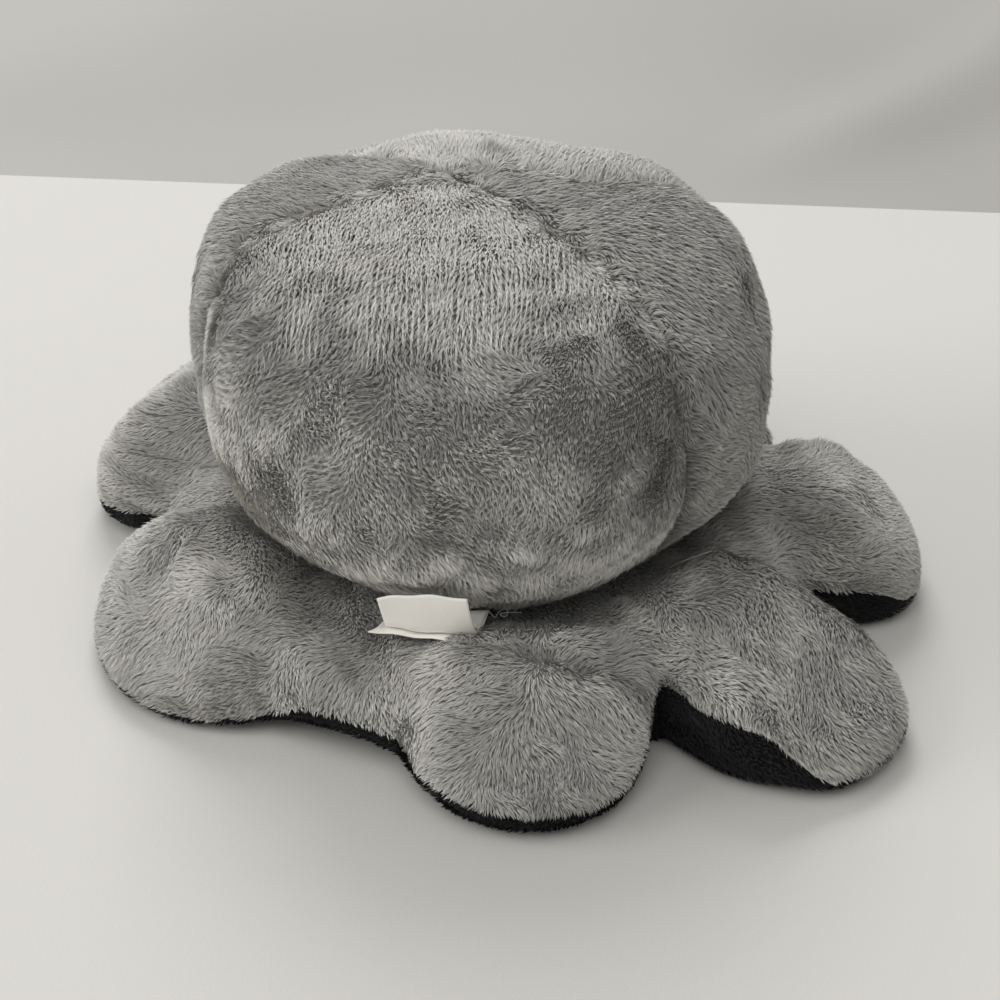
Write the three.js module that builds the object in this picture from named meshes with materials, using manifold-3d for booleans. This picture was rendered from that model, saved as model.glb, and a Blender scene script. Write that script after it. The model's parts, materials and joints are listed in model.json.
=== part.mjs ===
// A plush octopus that turns inside out: a stuffed grey head of four gores over eight stuffed tentacles, with black
// plush below and a turning pocket in the middle. Millimetres, +Z up, the front looks along -Y and the toy's left is +X.
// A turn is an angle in degrees about +Z, counted from the front towards the toy's left.
import * as THREE from "three";
import { mergeVertices } from "three/addons/utils/BufferGeometryUtils.js";
import Module from "manifold-3d";

const wasm = await Module();
wasm.setup();

// Cloth and clearances
const plushThickness = 2.2;
const seatGap = 0.3;
const hingeGap = 0.6;
const cutOverrun = 30;

// Head
const headWidth = 130;
const crownRise = 44.5;
const bowlDepth = 49.75;
const crownShift = 15;
const crownShiftTurn = 54;
const crownHoleRadius = 1.2;
const gorePuff = 2.6;
const neckRadius = 44;
const neckHeight = 24.3;

// Turning pocket
const pocketRadius = 33;
const pocketDomeHeight = 48;
const pocketRimHeight = 15;
const liningSeamTurn = 45;

// Skirt, the stuffed ring that the tentacles grow from
const skirtBottomHeight = 11;
const skirtSag = 3;
const webRadius = 77;
const webEdgeHeight = 13.5;

// Tentacles
const hingeRadius = 62;
const hingeHeight = 22;
const rootHalfThickness = 10;
const footTopThickness = 9.5;
const footBottomThickness = 6.5;
const tipRise = 3;
const tentacleReach = 40;
const footFlatDepth = 0.5;
const archRise = 5;
const liftAngle = 30;

// Label and eyes
const labelWidth = 23;
const labelReach = 18;
const labelRise = 7;
const labelFoldRadius = 1;
const labelThickness = 0.5;
const labelTurn = 185;
const eyeThickness = 1.2;
const eyeDown = 97;
const eyeHalfDown = 7;

// Each gore lies between its own seam and the next one's: the seam's turn at the crown and from the widest ring down.
const gores = [
  { name: "left", crownTurn: 61, sideTurn: 59, columns: 5 },
  { name: "back", crownTurn: 122, sideTurn: 122, columns: 11 },
  { name: "right", crownTurn: 250, sideTurn: 241, columns: 6 },
  { name: "front", crownTurn: 305, sideTurn: 302, columns: 10 },
];

// Each tentacle: its turn, the half angle of the wedge that it keeps to, and its shares of the wedge, of the reach of
// its tip outside the hinge, and of the arch.
const tentacles = [
  { name: "front", turn: 12, halfAngle: 17, fillShare: 0.96, reachShare: 0.85, archShare: 0.9 },
  { name: "front_left", turn: 48, halfAngle: 16, fillShare: 0.96, reachShare: 0.925, archShare: 1.1 },
  { name: "left", turn: 82, halfAngle: 15, fillShare: 0.97, reachShare: 1.12, archShare: 1.5 },
  { name: "back_left", turn: 131, halfAngle: 20, fillShare: 0.97, reachShare: 0.825, archShare: 0.8 },
  { name: "back", turn: 205, halfAngle: 20, fillShare: 0.95, reachShare: 0.8, archShare: 0.7 },
  { name: "back_right", turn: 248, halfAngle: 15, fillShare: 0.85, reachShare: 1.225, archShare: 1.5 },
  { name: "right", turn: 286, halfAngle: 15, fillShare: 0.96, reachShare: 1.1, archShare: 1.3 },
  { name: "front_right", turn: 333, halfAngle: 17, fillShare: 0.96, reachShare: 0.775, archShare: 0.9 },
];

// Fullness shares of the head above its widest ring, out to the shoulder and up to the crown: less than 1 is fuller
const shoulderFullnessShare = 0.82;
const crownFullnessShare = 0.6;

// Shape shares of a tentacle, along its length from the hinge, 0, to the tip, 1
const rootStationShares = [1, 0.9, 0.55, 0];
const bodyStationShares = [0.18, 0.38, 0.56, 0.7, 0.82, 0.92, 0.98, 1];
const archEndShare = 0.55;
const dropEndShare = 0.65;
const leanShare = 0.5;
const rootFillShare = 0.95;
const rootCornerShare = 0.8;
const bulgeEndShare = 0.55;
const blunterTipShare = 0.72;
const sectionFullnessShare = 0.86;

// Shape shares of the skirt's edge, from the hinge line out to the web's rim, and of an eye
const skirtFallShares = [0, 0.5, 0.8, 0.95, 1];
const eyeRingShares = [0.5, 0.85, 1];
const eyeHalfWidthShare = 0.045;
const eyeEdgeShare = 0.3;
const eyes = [
  { name: "eye_left", acrossShare: 0.72 },
  { name: "eye_right", acrossShare: 0.28 },
];

// Mesh fineness
const ringSides = gores.reduce((sum, gore) => sum + gore.columns, 0);
const lobeSides = 12;
const cavitySides = 8;
const goreRows = 9;
const pocketRows = 5;
const labelSteps = 4;
const labelPoints = 14;
const eyeSides = 14;
const settlingRounds = 4;

const headRadius = headWidth / 2;
const crownDown = Math.asin((crownHoleRadius / headRadius) ** (1 / shoulderFullnessShare));
const neckDown = Math.PI - Math.asin(neckRadius / headRadius);
const widestHeight = neckHeight - bowlDepth * Math.cos(neckDown);
const liningInset = plushThickness + seatGap;
const skirtTopHeight = hingeHeight + rootHalfThickness - skirtSag;
const plugRadius = neckRadius - liningInset;
const plugHeight = neckHeight - plushThickness;
const lipSetback = rootHalfThickness * Math.sin(THREE.MathUtils.degToRad(liftAngle)) + hingeGap;
const rootEndRadius = rootHalfThickness + hingeGap;

const grey = new THREE.MeshStandardMaterial({ color: 0x8c8b88, roughness: 0.95, metalness: 0 });
const black = new THREE.MeshStandardMaterial({ color: 0x17181a, roughness: 0.95, metalness: 0 });
const white = new THREE.MeshStandardMaterial({ color: 0xefeeea, roughness: 0.7, metalness: 0 });
const filling = new THREE.MeshStandardMaterial({ color: 0xf3f1ea, roughness: 1, metalness: 0 });
const thread = new THREE.MeshStandardMaterial({ color: 0x1d1d20, roughness: 0.6, metalness: 0 });

const part = new THREE.Group();
const { lerp, degToRad, smoothstep, clamp } = THREE.MathUtils;

function turnDirection(turn) {
  const angle = degToRad(turn);
  return new THREE.Vector3(Math.sin(angle), -Math.cos(angle), 0);
}

// Meshes and solids

function meshFrom(points, faces) {
  const geometry = new THREE.BufferGeometry().setFromPoints(points);
  geometry.setIndex(faces);
  return geometry;
}

function addPiece(name, geometry, material, group = part) {
  const shown = geometry.toNonIndexed();
  shown.computeVertexNormals();
  const mesh = new THREE.Mesh(shown, material);
  mesh.name = name;
  group.add(mesh);
}

function solidFrom(geometry) {
  const bare = geometry.clone();
  bare.deleteAttribute("normal");
  bare.deleteAttribute("uv");
  const merged = mergeVertices(bare);
  return new wasm.Manifold(
    new wasm.Mesh({
      numProp: 3,
      vertProperties: merged.attributes.position.array,
      triVerts: new Uint32Array(merged.index.array),
    }),
  );
}

function geometryFrom(solid) {
  const { vertProperties, triVerts } = solid.getMesh();
  const geometry = new THREE.BufferGeometry();
  geometry.setAttribute("position", new THREE.BufferAttribute(vertProperties, 3));
  geometry.setIndex(new THREE.BufferAttribute(triVerts, 1));
  return geometry;
}

// A closed skin of loops of equal length, clockwise as seen from the start point, each end closed by a point.
function loftGeometry(startPoint, loops, endPoint) {
  const sides = loops[0].length;
  const points = [startPoint, ...loops.flat(), endPoint];
  const last = points.length - 1;
  const faces = [];
  for (let side = 0; side < sides; side += 1) {
    const next = (side + 1) % sides;
    faces.push(0, 1 + next, 1 + side);
    for (let row = 0; row + 1 < loops.length; row += 1) {
      const here = 1 + row * sides;
      const below = here + sides;
      faces.push(here + side, here + next, below + next);
      faces.push(here + side, below + next, below + side);
    }
    const end = last - sides;
    faces.push(last, end + side, end + next);
  }
  return meshFrom(points, faces);
}

// A curved sheet with a thickness: two grids of points, the outer one and the inner one, joined along their edges.
function sheetGeometry(outer, inner) {
  const rows = outer.length;
  const columns = outer[0].length;
  const points = [...outer.flat(), ...inner.flat()];
  const innerStart = rows * columns;
  const at = (row, column) => row * columns + column;
  const faces = [];
  for (let row = 0; row + 1 < rows; row += 1) {
    for (let column = 0; column + 1 < columns; column += 1) {
      const corners = [at(row, column), at(row + 1, column), at(row + 1, column + 1), at(row, column + 1)];
      const [a, b, c, d] = corners;
      faces.push(a, b, d, b, c, d);
      const [e, f, g, h] = corners.map((corner) => corner + innerStart);
      faces.push(e, h, f, f, h, g);
    }
  }
  const border = [];
  for (let column = 0; column + 1 < columns; column += 1) border.push(at(0, column));
  for (let row = 0; row + 1 < rows; row += 1) border.push(at(row, columns - 1));
  for (let column = columns - 1; column > 0; column -= 1) border.push(at(rows - 1, column));
  for (let row = rows - 1; row > 0; row -= 1) border.push(at(row, 0));
  border.forEach((here, index) => {
    const next = border[(index + 1) % border.length];
    faces.push(here, next, next + innerStart, here, next + innerStart, here + innerStart);
  });
  return meshFrom(points, faces);
}

// Head

function seamTurn(index, down) {
  const wraps = Math.floor(index / gores.length);
  const gore = gores[index % gores.length];
  const share = smoothstep(down, 0, Math.PI / 2);
  return lerp(gore.crownTurn, gore.sideTurn, share) + wraps * 360;
}

// Height above the widest ring: a full shoulder above it, a plain bowl below.
function riseAt(down, inset) {
  const share = Math.cos(down);
  return share > 0 ? (crownRise - inset) * share ** crownFullnessShare : (bowlDepth - inset) * share;
}

function headCentreAt(down, inset) {
  const lean = crownShift * Math.max(0, Math.cos(down)) ** 2;
  const centre = turnDirection(crownShiftTurn).multiplyScalar(lean);
  centre.z = widestHeight + riseAt(down, inset);
  return centre;
}

// A point of a gore: across runs from 0 at its own seam to 1 at the next, down is the angle from the crown.
function gorePoint(index, across, down, inset) {
  const from = seamTurn(index, down);
  const to = seamTurn(index + 1, down);
  const atNeck = Math.sin(neckDown);
  const puffHere = Math.max(0, Math.sin(down) - atNeck) / (1 - atNeck);
  const puff = gorePuff * puffHere * (1 - (2 * across - 1) ** 4);
  const spread = down < Math.PI / 2 ? Math.sin(down) ** shoulderFullnessShare : Math.sin(down);
  const radius = (headRadius + puff - inset) * spread;
  return headCentreAt(down, inset).addScaledVector(turnDirection(lerp(from, to, across)), radius);
}

function headLoop(down, inset) {
  const loop = gores.flatMap(({ columns }, index) =>
    Array.from({ length: columns }, (_, column) => gorePoint(index, column / columns, down, inset)),
  );
  return loop.reverse();
}

const headDowns = Array.from({ length: goreRows + 1 }, (_, row) =>
  lerp(crownDown, neckDown, row / goreRows),
);

function goreGeometry(index) {
  const { columns } = gores[index];
  const grid = (inset) =>
    headDowns.map((down) => {
      const spread = gorePoint(index, 0, down, 0).distanceTo(headCentreAt(down, 0));
      const width = degToRad(seamTurn(index + 1, down) - seamTurn(index, down)) * spread;
      const seamShare = seatGap / 2 / width;
      return Array.from({ length: columns + 1 }, (_, column) => {
        const across = lerp(seamShare, 1 - seamShare, column / columns);
        return gorePoint(index, across, down, inset);
      });
    });
  return sheetGeometry(grid(0), grid(plushThickness));
}

// A level ring of points, whose first point lies near the first seam of the head.
function circle(radius, height) {
  const step = 360 / ringSides;
  const loop = Array.from({ length: ringSides }, (_, side) => {
    const point = turnDirection(liningSeamTurn + (side + 1) * step).multiplyScalar(radius);
    point.z = height;
    return point;
  });
  return loop.reverse();
}

// The dome of the pocket, from its top to its straight rim; a negative inset lies outside its lining.
function pocketProfile(inset) {
  return Array.from({ length: pocketRows }, (_, row) => {
    const down = (Math.PI / 2) * ((row + 1) / pocketRows);
    return {
      radius: (pocketRadius - inset) * Math.sin(down),
      height: pocketRimHeight + (pocketDomeHeight - inset) * Math.cos(down),
    };
  });
}

function headStuffingGeometry() {
  const outside = headDowns.map((down) => headLoop(down, liningInset));
  const topOfPocket = new THREE.Vector3(0, 0, pocketRimHeight + pocketDomeHeight + liningInset);
  const plug = circle(plugRadius, plugHeight);
  const mouth = circle(pocketRadius + liningInset, plugHeight);
  const pocket = pocketProfile(-liningInset)
    .filter((ring) => ring.height > plugHeight)
    .map((ring) => circle(ring.radius, ring.height));
  return loftGeometry(headCentreAt(0, liningInset), [...outside, plug, mouth, ...pocket.reverse()], topOfPocket);
}

function headCutter() {
  const rows = headDowns.map((down) => headLoop(down, -seatGap));
  const bottom = new THREE.Vector3(0, 0, neckHeight - seatGap);
  return loftGeometry(headCentreAt(0, -seatGap), rows, bottom);
}

gores.forEach((gore, index) => addPiece(`head_${gore.name}_gore`, goreGeometry(index), grey));
addPiece("head_stuffing", headStuffingGeometry(), filling);

// Pocket lining: the black inner head, four equal gores, pushed in through the neck

function pocketGoreGeometry(index, count) {
  const columns = ringSides / count;
  const width = 360 / count;
  const grid = (inset) => {
    const start = { radius: crownHoleRadius, height: pocketRimHeight + pocketDomeHeight - inset };
    const rim = { radius: pocketRadius - inset, height: skirtBottomHeight };
    return [start, ...pocketProfile(inset), rim].map(({ radius, height }) => {
      const gapTurn = THREE.MathUtils.radToDeg(seatGap / 2 / radius);
      return Array.from({ length: columns + 1 }, (_, column) => {
        const turn = liningSeamTurn + index * width + lerp(gapTurn, width - gapTurn, column / columns);
        const point = turnDirection(turn).multiplyScalar(radius);
        point.z = height;
        return point;
      });
    });
  };
  return sheetGeometry(grid(-plushThickness), grid(0));
}

["left", "back", "right", "front"].forEach((side, index, sides) => {
  addPiece(`inner_head_${side}_gore`, pocketGoreGeometry(index, sides.length), black);
});

// Skirt: height of its top and of its bottom face at a radius, with the cloth's thickness taken off as an inset

function skirtTopAt(radius, inset) {
  if (radius <= hingeRadius) {
    const share = (radius - neckRadius) / (hingeRadius - neckRadius);
    return lerp(neckHeight - seatGap, skirtTopHeight, share) - inset;
  }
  const share = (radius - hingeRadius) / (webRadius - inset - hingeRadius);
  return webEdgeHeight + (skirtTopHeight - inset - webEdgeHeight) * Math.sqrt(Math.max(0, 1 - share ** 2));
}

function skirtBottomAt(radius, inset) {
  const share = Math.max(0, radius - hingeRadius) / (webRadius - inset - hingeRadius);
  return webEdgeHeight - (webEdgeHeight - skirtBottomHeight - inset) * Math.sqrt(Math.max(0, 1 - share ** 2));
}

function skirtLine(heightAt, from, inset, lift) {
  const rim = webRadius - inset;
  const radii = [from, ...skirtFallShares.map((share) => lerp(hingeRadius, rim, share))];
  return radii.map((radius) => new THREE.Vector2(radius, heightAt(radius, inset) + lift));
}

function latheSolid(outline) {
  const closed = [...outline, outline[0]];
  const area = THREE.ShapeUtils.area(outline);
  const profile = area > 0 ? closed : closed.reverse();
  return solidFrom(new THREE.LatheGeometry(profile, ringSides).rotateX(Math.PI / 2));
}

function skirtSolids() {
  const half = seatGap / 2;
  const top = [
    ...skirtLine(skirtTopAt, neckRadius, 0, half),
    ...skirtLine(skirtTopAt, neckRadius, plushThickness, half).reverse(),
  ];
  const mouth = pocketRadius + liningInset;
  const underside = [
    ...skirtLine(skirtBottomAt, mouth, 0, -half),
    ...skirtLine(skirtBottomAt, mouth, plushThickness, -half).reverse(),
  ];
  const upper = skirtLine(skirtTopAt, neckRadius, liningInset, 0);
  const lower = skirtLine(skirtBottomAt, mouth, liningInset, 0);
  const shoulder = [new THREE.Vector2(mouth, plugHeight - seatGap), new THREE.Vector2(plugRadius, plugHeight - seatGap)];
  const stuffing = [...shoulder, ...upper, ...lower.slice(0, -1).reverse()];
  return { top: latheSolid(top), underside: latheSolid(underside), stuffing: latheSolid(stuffing) };
}

// The tentacle's wedge in its own frame: x outwards from the hinge line, y across, z up from the floor.

function placeMatrix(tentacle) {
  const place = turnDirection(tentacle.turn).multiplyScalar(hingeRadius);
  const matrix = new THREE.Matrix4().makeRotationZ(degToRad(tentacle.turn - 90));
  return matrix.setPosition(place);
}

function prism(outline, bottom, top) {
  const shape = new THREE.Shape(outline);
  const geometry = new THREE.ExtrudeGeometry(shape, { depth: top - bottom, bevelEnabled: false });
  return geometry.translate(0, 0, bottom);
}

function socketCutter(tentacle) {
  const slope = Math.tan(degToRad(tentacle.halfAngle));
  const far = webRadius - hingeRadius + cutOverrun;
  const near = -rootEndRadius - hingeGap;
  const bottom = -cutOverrun;
  const top = skirtTopHeight + cutOverrun;
  const halfWidthAt = (x) => (hingeRadius + x) * slope + hingeGap / 2;
  const wedge = [
    new THREE.Vector2(near, -halfWidthAt(near)),
    new THREE.Vector2(far, -halfWidthAt(far)),
    new THREE.Vector2(far, halfWidthAt(far)),
    new THREE.Vector2(near, halfWidthAt(near)),
  ];
  const side = 2 * halfWidthAt(far);
  const outside = new THREE.BoxGeometry(far + lipSetback, side, top - bottom);
  outside.translate((far - lipSetback) / 2, 0, (top + bottom) / 2);
  const rootEnd = new THREE.CylinderGeometry(rootEndRadius, rootEndRadius, side, ringSides);
  rootEnd.translate(0, 0, hingeHeight);
  const swept = solidFrom(outside).add(solidFrom(rootEnd));
  const cutter = swept.intersect(solidFrom(prism(wedge, bottom, top)));
  return solidFrom(geometryFrom(cutter).applyMatrix4(placeMatrix(tentacle)));
}

function reachOf(tentacle) {
  return tentacleReach * tentacle.reachShare;
}

// Half of the width that a tentacle may have at x and still clear its neighbours when it is lifted.
function roomAt(tentacle, x) {
  const shrink = x > 0 ? Math.cos(degToRad(liftAngle)) : 1;
  return (hingeRadius + x * shrink) * Math.tan(degToRad(tentacle.halfAngle)) - hingeGap / 2;
}

function roundedEnd(share, from) {
  const past = clamp((share - from) / (1 - from), 0, 1);
  return Math.sqrt(1 - past ** 2);
}

// The middle line of a tentacle: straight through the hinge, over the arch and down to the tip, which turns up a little.
function tentacleLine(tentacle, tipHeight) {
  const hinge = new THREE.Vector3(0, 0, hingeHeight);
  const reach = reachOf(tentacle);
  const tip = new THREE.Vector3(reach, 0, tipHeight);
  const over = new THREE.Vector3(reach * archEndShare, 0, hingeHeight + archRise * tentacle.archShare);
  const down = new THREE.Vector3(reach * dropEndShare, 0, tipHeight - tipRise);
  const line = new THREE.CurvePath();
  line.add(new THREE.LineCurve3(new THREE.Vector3(-rootHalfThickness, 0, hingeHeight), hinge));
  line.add(new THREE.CubicBezierCurve3(hinge, over, down, tip));
  return line;
}

function tentacleSections(tentacle, inset, tipHeight = tipHeights.get(tentacle.name)) {
  const line = tentacleLine(tentacle, tipHeight);
  const total = line.getLength();
  const length = total - rootHalfThickness - inset;
  const rootLength = rootHalfThickness - inset;
  const stations = [
    ...rootStationShares.map((share) => -share * rootLength),
    ...bodyStationShares.map((share) => share * length),
  ];
  return stations.map((distance) => {
    const at = clamp((distance + rootHalfThickness) / total, 0, 1);
    const centre = line.getPointAt(at);
    const along = line.getTangentAt(at);
    const up = new THREE.Vector3(-along.z * leanShare, 0, along.x).normalize();
    const share = distance / length;
    const fill = lerp(rootFillShare, tentacle.fillShare, smoothstep(share, 0, bulgeEndShare));
    const rootEnd = distance < 0 ? Math.sqrt(1 - (distance / rootLength) ** 2) : 1;
    const rootSide = lerp(rootCornerShare, 1, rootEnd);
    const blunt = rootEnd * roundedEnd(share, blunterTipShare);
    const closed = Math.abs(distance) === rootLength || share === 1 ? 0 : 1;
    return {
      centre,
      up,
      halfWidth: closed * (roomAt(tentacle, distance) * fill - inset) * rootSide * roundedEnd(share, bulgeEndShare),
      top: (lerp(rootHalfThickness, footTopThickness, Math.max(0, share)) - inset) * blunt,
      bottom: (lerp(rootHalfThickness, footBottomThickness, Math.max(0, share)) - inset) * blunt,
    };
  });
}

function sectionLoop(section, sides) {
  return Array.from({ length: sides }, (_, side) => {
    const angle = (side * 2 * Math.PI) / sides;
    const full = (value) => Math.sign(value) * Math.abs(value) ** sectionFullnessShare;
    const across = section.halfWidth * full(Math.cos(angle));
    const height = Math.sin(angle) > 0 ? section.top : section.bottom;
    const point = section.centre.clone().addScaledVector(section.up, height * full(Math.sin(angle)));
    point.y += across;
    return point;
  });
}

function tentacleForm(tentacle, inset, sides) {
  const sections = tentacleSections(tentacle, inset);
  const loops = sections.slice(1, -1).map((section) => sectionLoop(section, sides));
  return solidFrom(loftGeometry(sections[0].centre, loops, sections.at(-1).centre));
}

// A thin curved slab on the middle line, where the two cloths of a tentacle are sewn together.
function seamSlab(tentacle) {
  const sections = tentacleSections(tentacle, 0);
  const beyond = (section, distance) => {
    const along = new THREE.Vector3(section.up.z, 0, -section.up.x);
    return { centre: section.centre.clone().addScaledVector(along, distance), up: section.up };
  };
  const line = [beyond(sections[0], -cutOverrun), ...sections.slice(1, -1), beyond(sections.at(-1), cutOverrun)];
  const side = roomAt(tentacle, reachOf(tentacle)) + cutOverrun;
  const rows = (lift) =>
    line.map(({ centre, up }) =>
      [-side, side].map((y) => centre.clone().addScaledVector(up, lift).setY(y)),
    );
  return solidFrom(sheetGeometry(rows(seatGap / 2), rows(-seatGap / 2)));
}

function floorCutter() {
  const reach = hingeRadius + cutOverrun + Math.max(...tentacles.map(reachOf));
  return solidFrom(new THREE.BoxGeometry(2 * reach, 2 * reach, cutOverrun).translate(0, 0, -cutOverrun / 2));
}

// The tip's height at which the lowest point of the tentacle is cut flat by the floor to its full depth.
function settledTipHeight(tentacle) {
  let height = footBottomThickness;
  for (let round = 0; round < settlingRounds; round += 1) {
    const sections = tentacleSections(tentacle, 0, height);
    height -= footFlatDepth + Math.min(...sections.map(({ centre, up, bottom }) => centre.z - bottom * up.z));
  }
  return height;
}

function addTentacle(tentacle) {
  const group = new THREE.Group();
  group.applyMatrix4(placeMatrix(tentacle));
  const toOwnFrame = placeMatrix(tentacle).invert();
  const head = solidFrom(headCutter().applyMatrix4(toOwnFrame));
  const outside = tentacleForm(tentacle, 0, lobeSides).subtract(head).subtract(floorCutter());
  const cloth = outside.subtract(tentacleForm(tentacle, plushThickness, cavitySides));
  const halves = cloth.subtract(seamSlab(tentacle)).decompose();
  const heightOf = (solid) => solid.boundingBox().max[2];
  halves.sort((a, b) => heightOf(b) - heightOf(a));
  const name = `tentacle_${tentacle.name}`;
  addPiece(`${name}_top`, geometryFrom(halves[0]), grey, group);
  addPiece(`${name}_underside`, geometryFrom(halves[1]), black, group);
  const stuffing = tentacleForm(tentacle, liningInset, cavitySides).subtract(head);
  addPiece(`${name}_stuffing`, geometryFrom(stuffing), filling, group);
  part.add(group);
}

function addSkirt() {
  const { top, underside, stuffing } = skirtSolids();
  const sockets = tentacles.map(socketCutter);
  const cut = (solid) => sockets.reduce((rest, socket) => rest.subtract(socket), solid);
  const underHead = (solid) => solid.subtract(solidFrom(headCutter()));
  addPiece("skirt_top", geometryFrom(underHead(cut(top))), grey);
  addPiece("skirt_underside", geometryFrom(cut(underside)), black);
  addPiece("skirt_stuffing", geometryFrom(underHead(cut(stuffing))), filling);
}

const tipHeights = new Map(tentacles.map((tentacle) => [tentacle.name, settledTipHeight(tentacle)]));
addSkirt();
tentacles.forEach(addTentacle);

// Folded label, bare of print: one leaf lies on the skirt from the neck seam out, the other rises along the head.

// Radius that the fullest gore keeps within at a height.
function headReachAt(height) {
  const share = (widestHeight - height) / bowlDepth;
  return (headRadius + gorePuff) * Math.sqrt(Math.max(0, 1 - share ** 2)) + seatGap;
}

function labelHeightAt(radius) {
  const edgeRadius = Math.min(Math.hypot(radius, labelWidth / 2), hingeRadius);
  const rootTop = hingeHeight + Math.sqrt(Math.max(0, rootEndRadius ** 2 - (hingeRadius - edgeRadius) ** 2));
  return Math.max(skirtTopAt(Math.min(radius, hingeRadius), 0), skirtTopAt(edgeRadius, 0), rootTop) + 2 * seatGap;
}

function labelGeometry() {
  const foldHeight = labelHeightAt(hingeRadius);
  const foldRadius = Math.max(neckRadius + labelReach, headReachAt(foldHeight) + labelThickness);
  const topHeight = foldHeight + labelRise;
  const topRadius = Math.max(foldRadius, headReachAt(topHeight) + labelThickness);
  const lowerLeaf = Array.from({ length: labelSteps }, (_, step) => {
    const radius = lerp(neckRadius + seatGap, foldRadius, step / labelSteps);
    return new THREE.Vector2(radius, labelHeightAt(radius));
  });
  const line = new THREE.SplineCurve([
    ...lowerLeaf,
    new THREE.Vector2(foldRadius, foldHeight),
    new THREE.Vector2(foldRadius + labelFoldRadius, foldHeight + labelFoldRadius),
    new THREE.Vector2(topRadius, topHeight),
  ]);
  const outer = line.getPoints(labelPoints);
  const inner = outer.map((point, index) => {
    const along = line.getTangent(index / labelPoints);
    return new THREE.Vector2(-along.y, along.x).multiplyScalar(labelThickness).add(point);
  });
  const shape = new THREE.Shape([...outer, ...inner.reverse()]);
  const geometry = new THREE.ExtrudeGeometry(shape, { depth: labelWidth, bevelEnabled: false });
  geometry.translate(0, 0, -labelWidth / 2).rotateX(Math.PI / 2);
  return geometry.rotateZ(degToRad(labelTurn - 90));
}

// Where the head lies on the lower leaf, the leaf ends; the label is what stays in one piece outside.
const labelPieces = solidFrom(labelGeometry()).subtract(solidFrom(headCutter())).decompose();
labelPieces.sort((a, b) => b.volume() - a.volume());
addPiece("sewn_label", geometryFrom(labelPieces[0]), white);

// Embroidered eyes: plain ovals that follow the front gore

function eyeGeometry(acrossShare) {
  const frontGore = gores.length - 1;
  const pointAt = (ring, side, lift) => {
    const angle = (side * 2 * Math.PI) / eyeSides;
    const across = acrossShare + eyeHalfWidthShare * ring * Math.cos(angle);
    const down = degToRad(eyeDown + eyeHalfDown * ring * Math.sin(angle));
    return gorePoint(frontGore, across, down, -lift);
  };
  const domed = (ring) => seatGap + eyeThickness * lerp(1, eyeEdgeShare, ring ** 2);
  const loop = (ring, lift) => Array.from({ length: eyeSides }, (_, side) => pointAt(ring, side, lift));
  const front = eyeRingShares.map((ring) => loop(ring, domed(ring)));
  const back = [1, eyeRingShares[0]].map((ring) => loop(ring, seatGap));
  return loftGeometry(pointAt(0, 0, domed(0)), [...front, ...back], pointAt(0, 0, seatGap));
}

eyes.forEach(({ name, acrossShare }) => addPiece(name, eyeGeometry(acrossShare), thread));

// The origin lies on the floor, below the middle of the whole part.
const middle = new THREE.Box3().setFromObject(part, true).getCenter(new THREE.Vector3());
part.position.set(-middle.x, -middle.y, 0);

export default part;
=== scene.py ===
import json
import math

import bpy
import numpy as np
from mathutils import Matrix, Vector


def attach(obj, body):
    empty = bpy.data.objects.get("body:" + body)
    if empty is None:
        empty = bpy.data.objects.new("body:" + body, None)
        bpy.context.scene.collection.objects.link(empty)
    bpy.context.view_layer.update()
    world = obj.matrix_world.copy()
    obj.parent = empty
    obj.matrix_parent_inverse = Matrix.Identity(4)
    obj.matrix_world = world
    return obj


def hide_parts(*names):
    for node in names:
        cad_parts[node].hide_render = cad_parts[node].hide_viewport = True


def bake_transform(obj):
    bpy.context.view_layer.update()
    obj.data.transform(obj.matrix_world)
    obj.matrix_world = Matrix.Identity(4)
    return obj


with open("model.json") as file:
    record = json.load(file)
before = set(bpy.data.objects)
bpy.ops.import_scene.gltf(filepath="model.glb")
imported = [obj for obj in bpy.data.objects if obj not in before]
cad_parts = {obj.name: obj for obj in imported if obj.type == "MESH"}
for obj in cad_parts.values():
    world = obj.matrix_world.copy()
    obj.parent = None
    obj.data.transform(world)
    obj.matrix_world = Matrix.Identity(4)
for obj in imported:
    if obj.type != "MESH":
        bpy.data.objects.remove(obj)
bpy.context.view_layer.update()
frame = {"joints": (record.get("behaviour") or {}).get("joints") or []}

BODY = "head_and_skirt"
MM = 0.001

# Shapes of the CAD source, in millimetres and degrees round the neck's axis
HINGE_RADIUS, HINGE_HEIGHT = 62.0, 22.0
HEAD_RADIUS, CROWN_RISE, BOWL_DEPTH = 65.0, 44.5, 49.75
CROWN_SHIFT, CROWN_TURN, SHOULDER, CROWN_FULL = 15.0, 54.0, 0.82, 0.6
NECK_RADIUS, NECK_HEIGHT, GORE_PUFF = 44.0, 24.3, 2.6
POCKET_RADIUS, POCKET_DOME, POCKET_RIM, LINING_TURN = 33.0, 48.0, 15.0, 45.0
SKIRT_BOTTOM = 11.0
GORES = [("left", 61, 59), ("back", 122, 122), ("right", 250, 241), ("front", 305, 302)]

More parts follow.
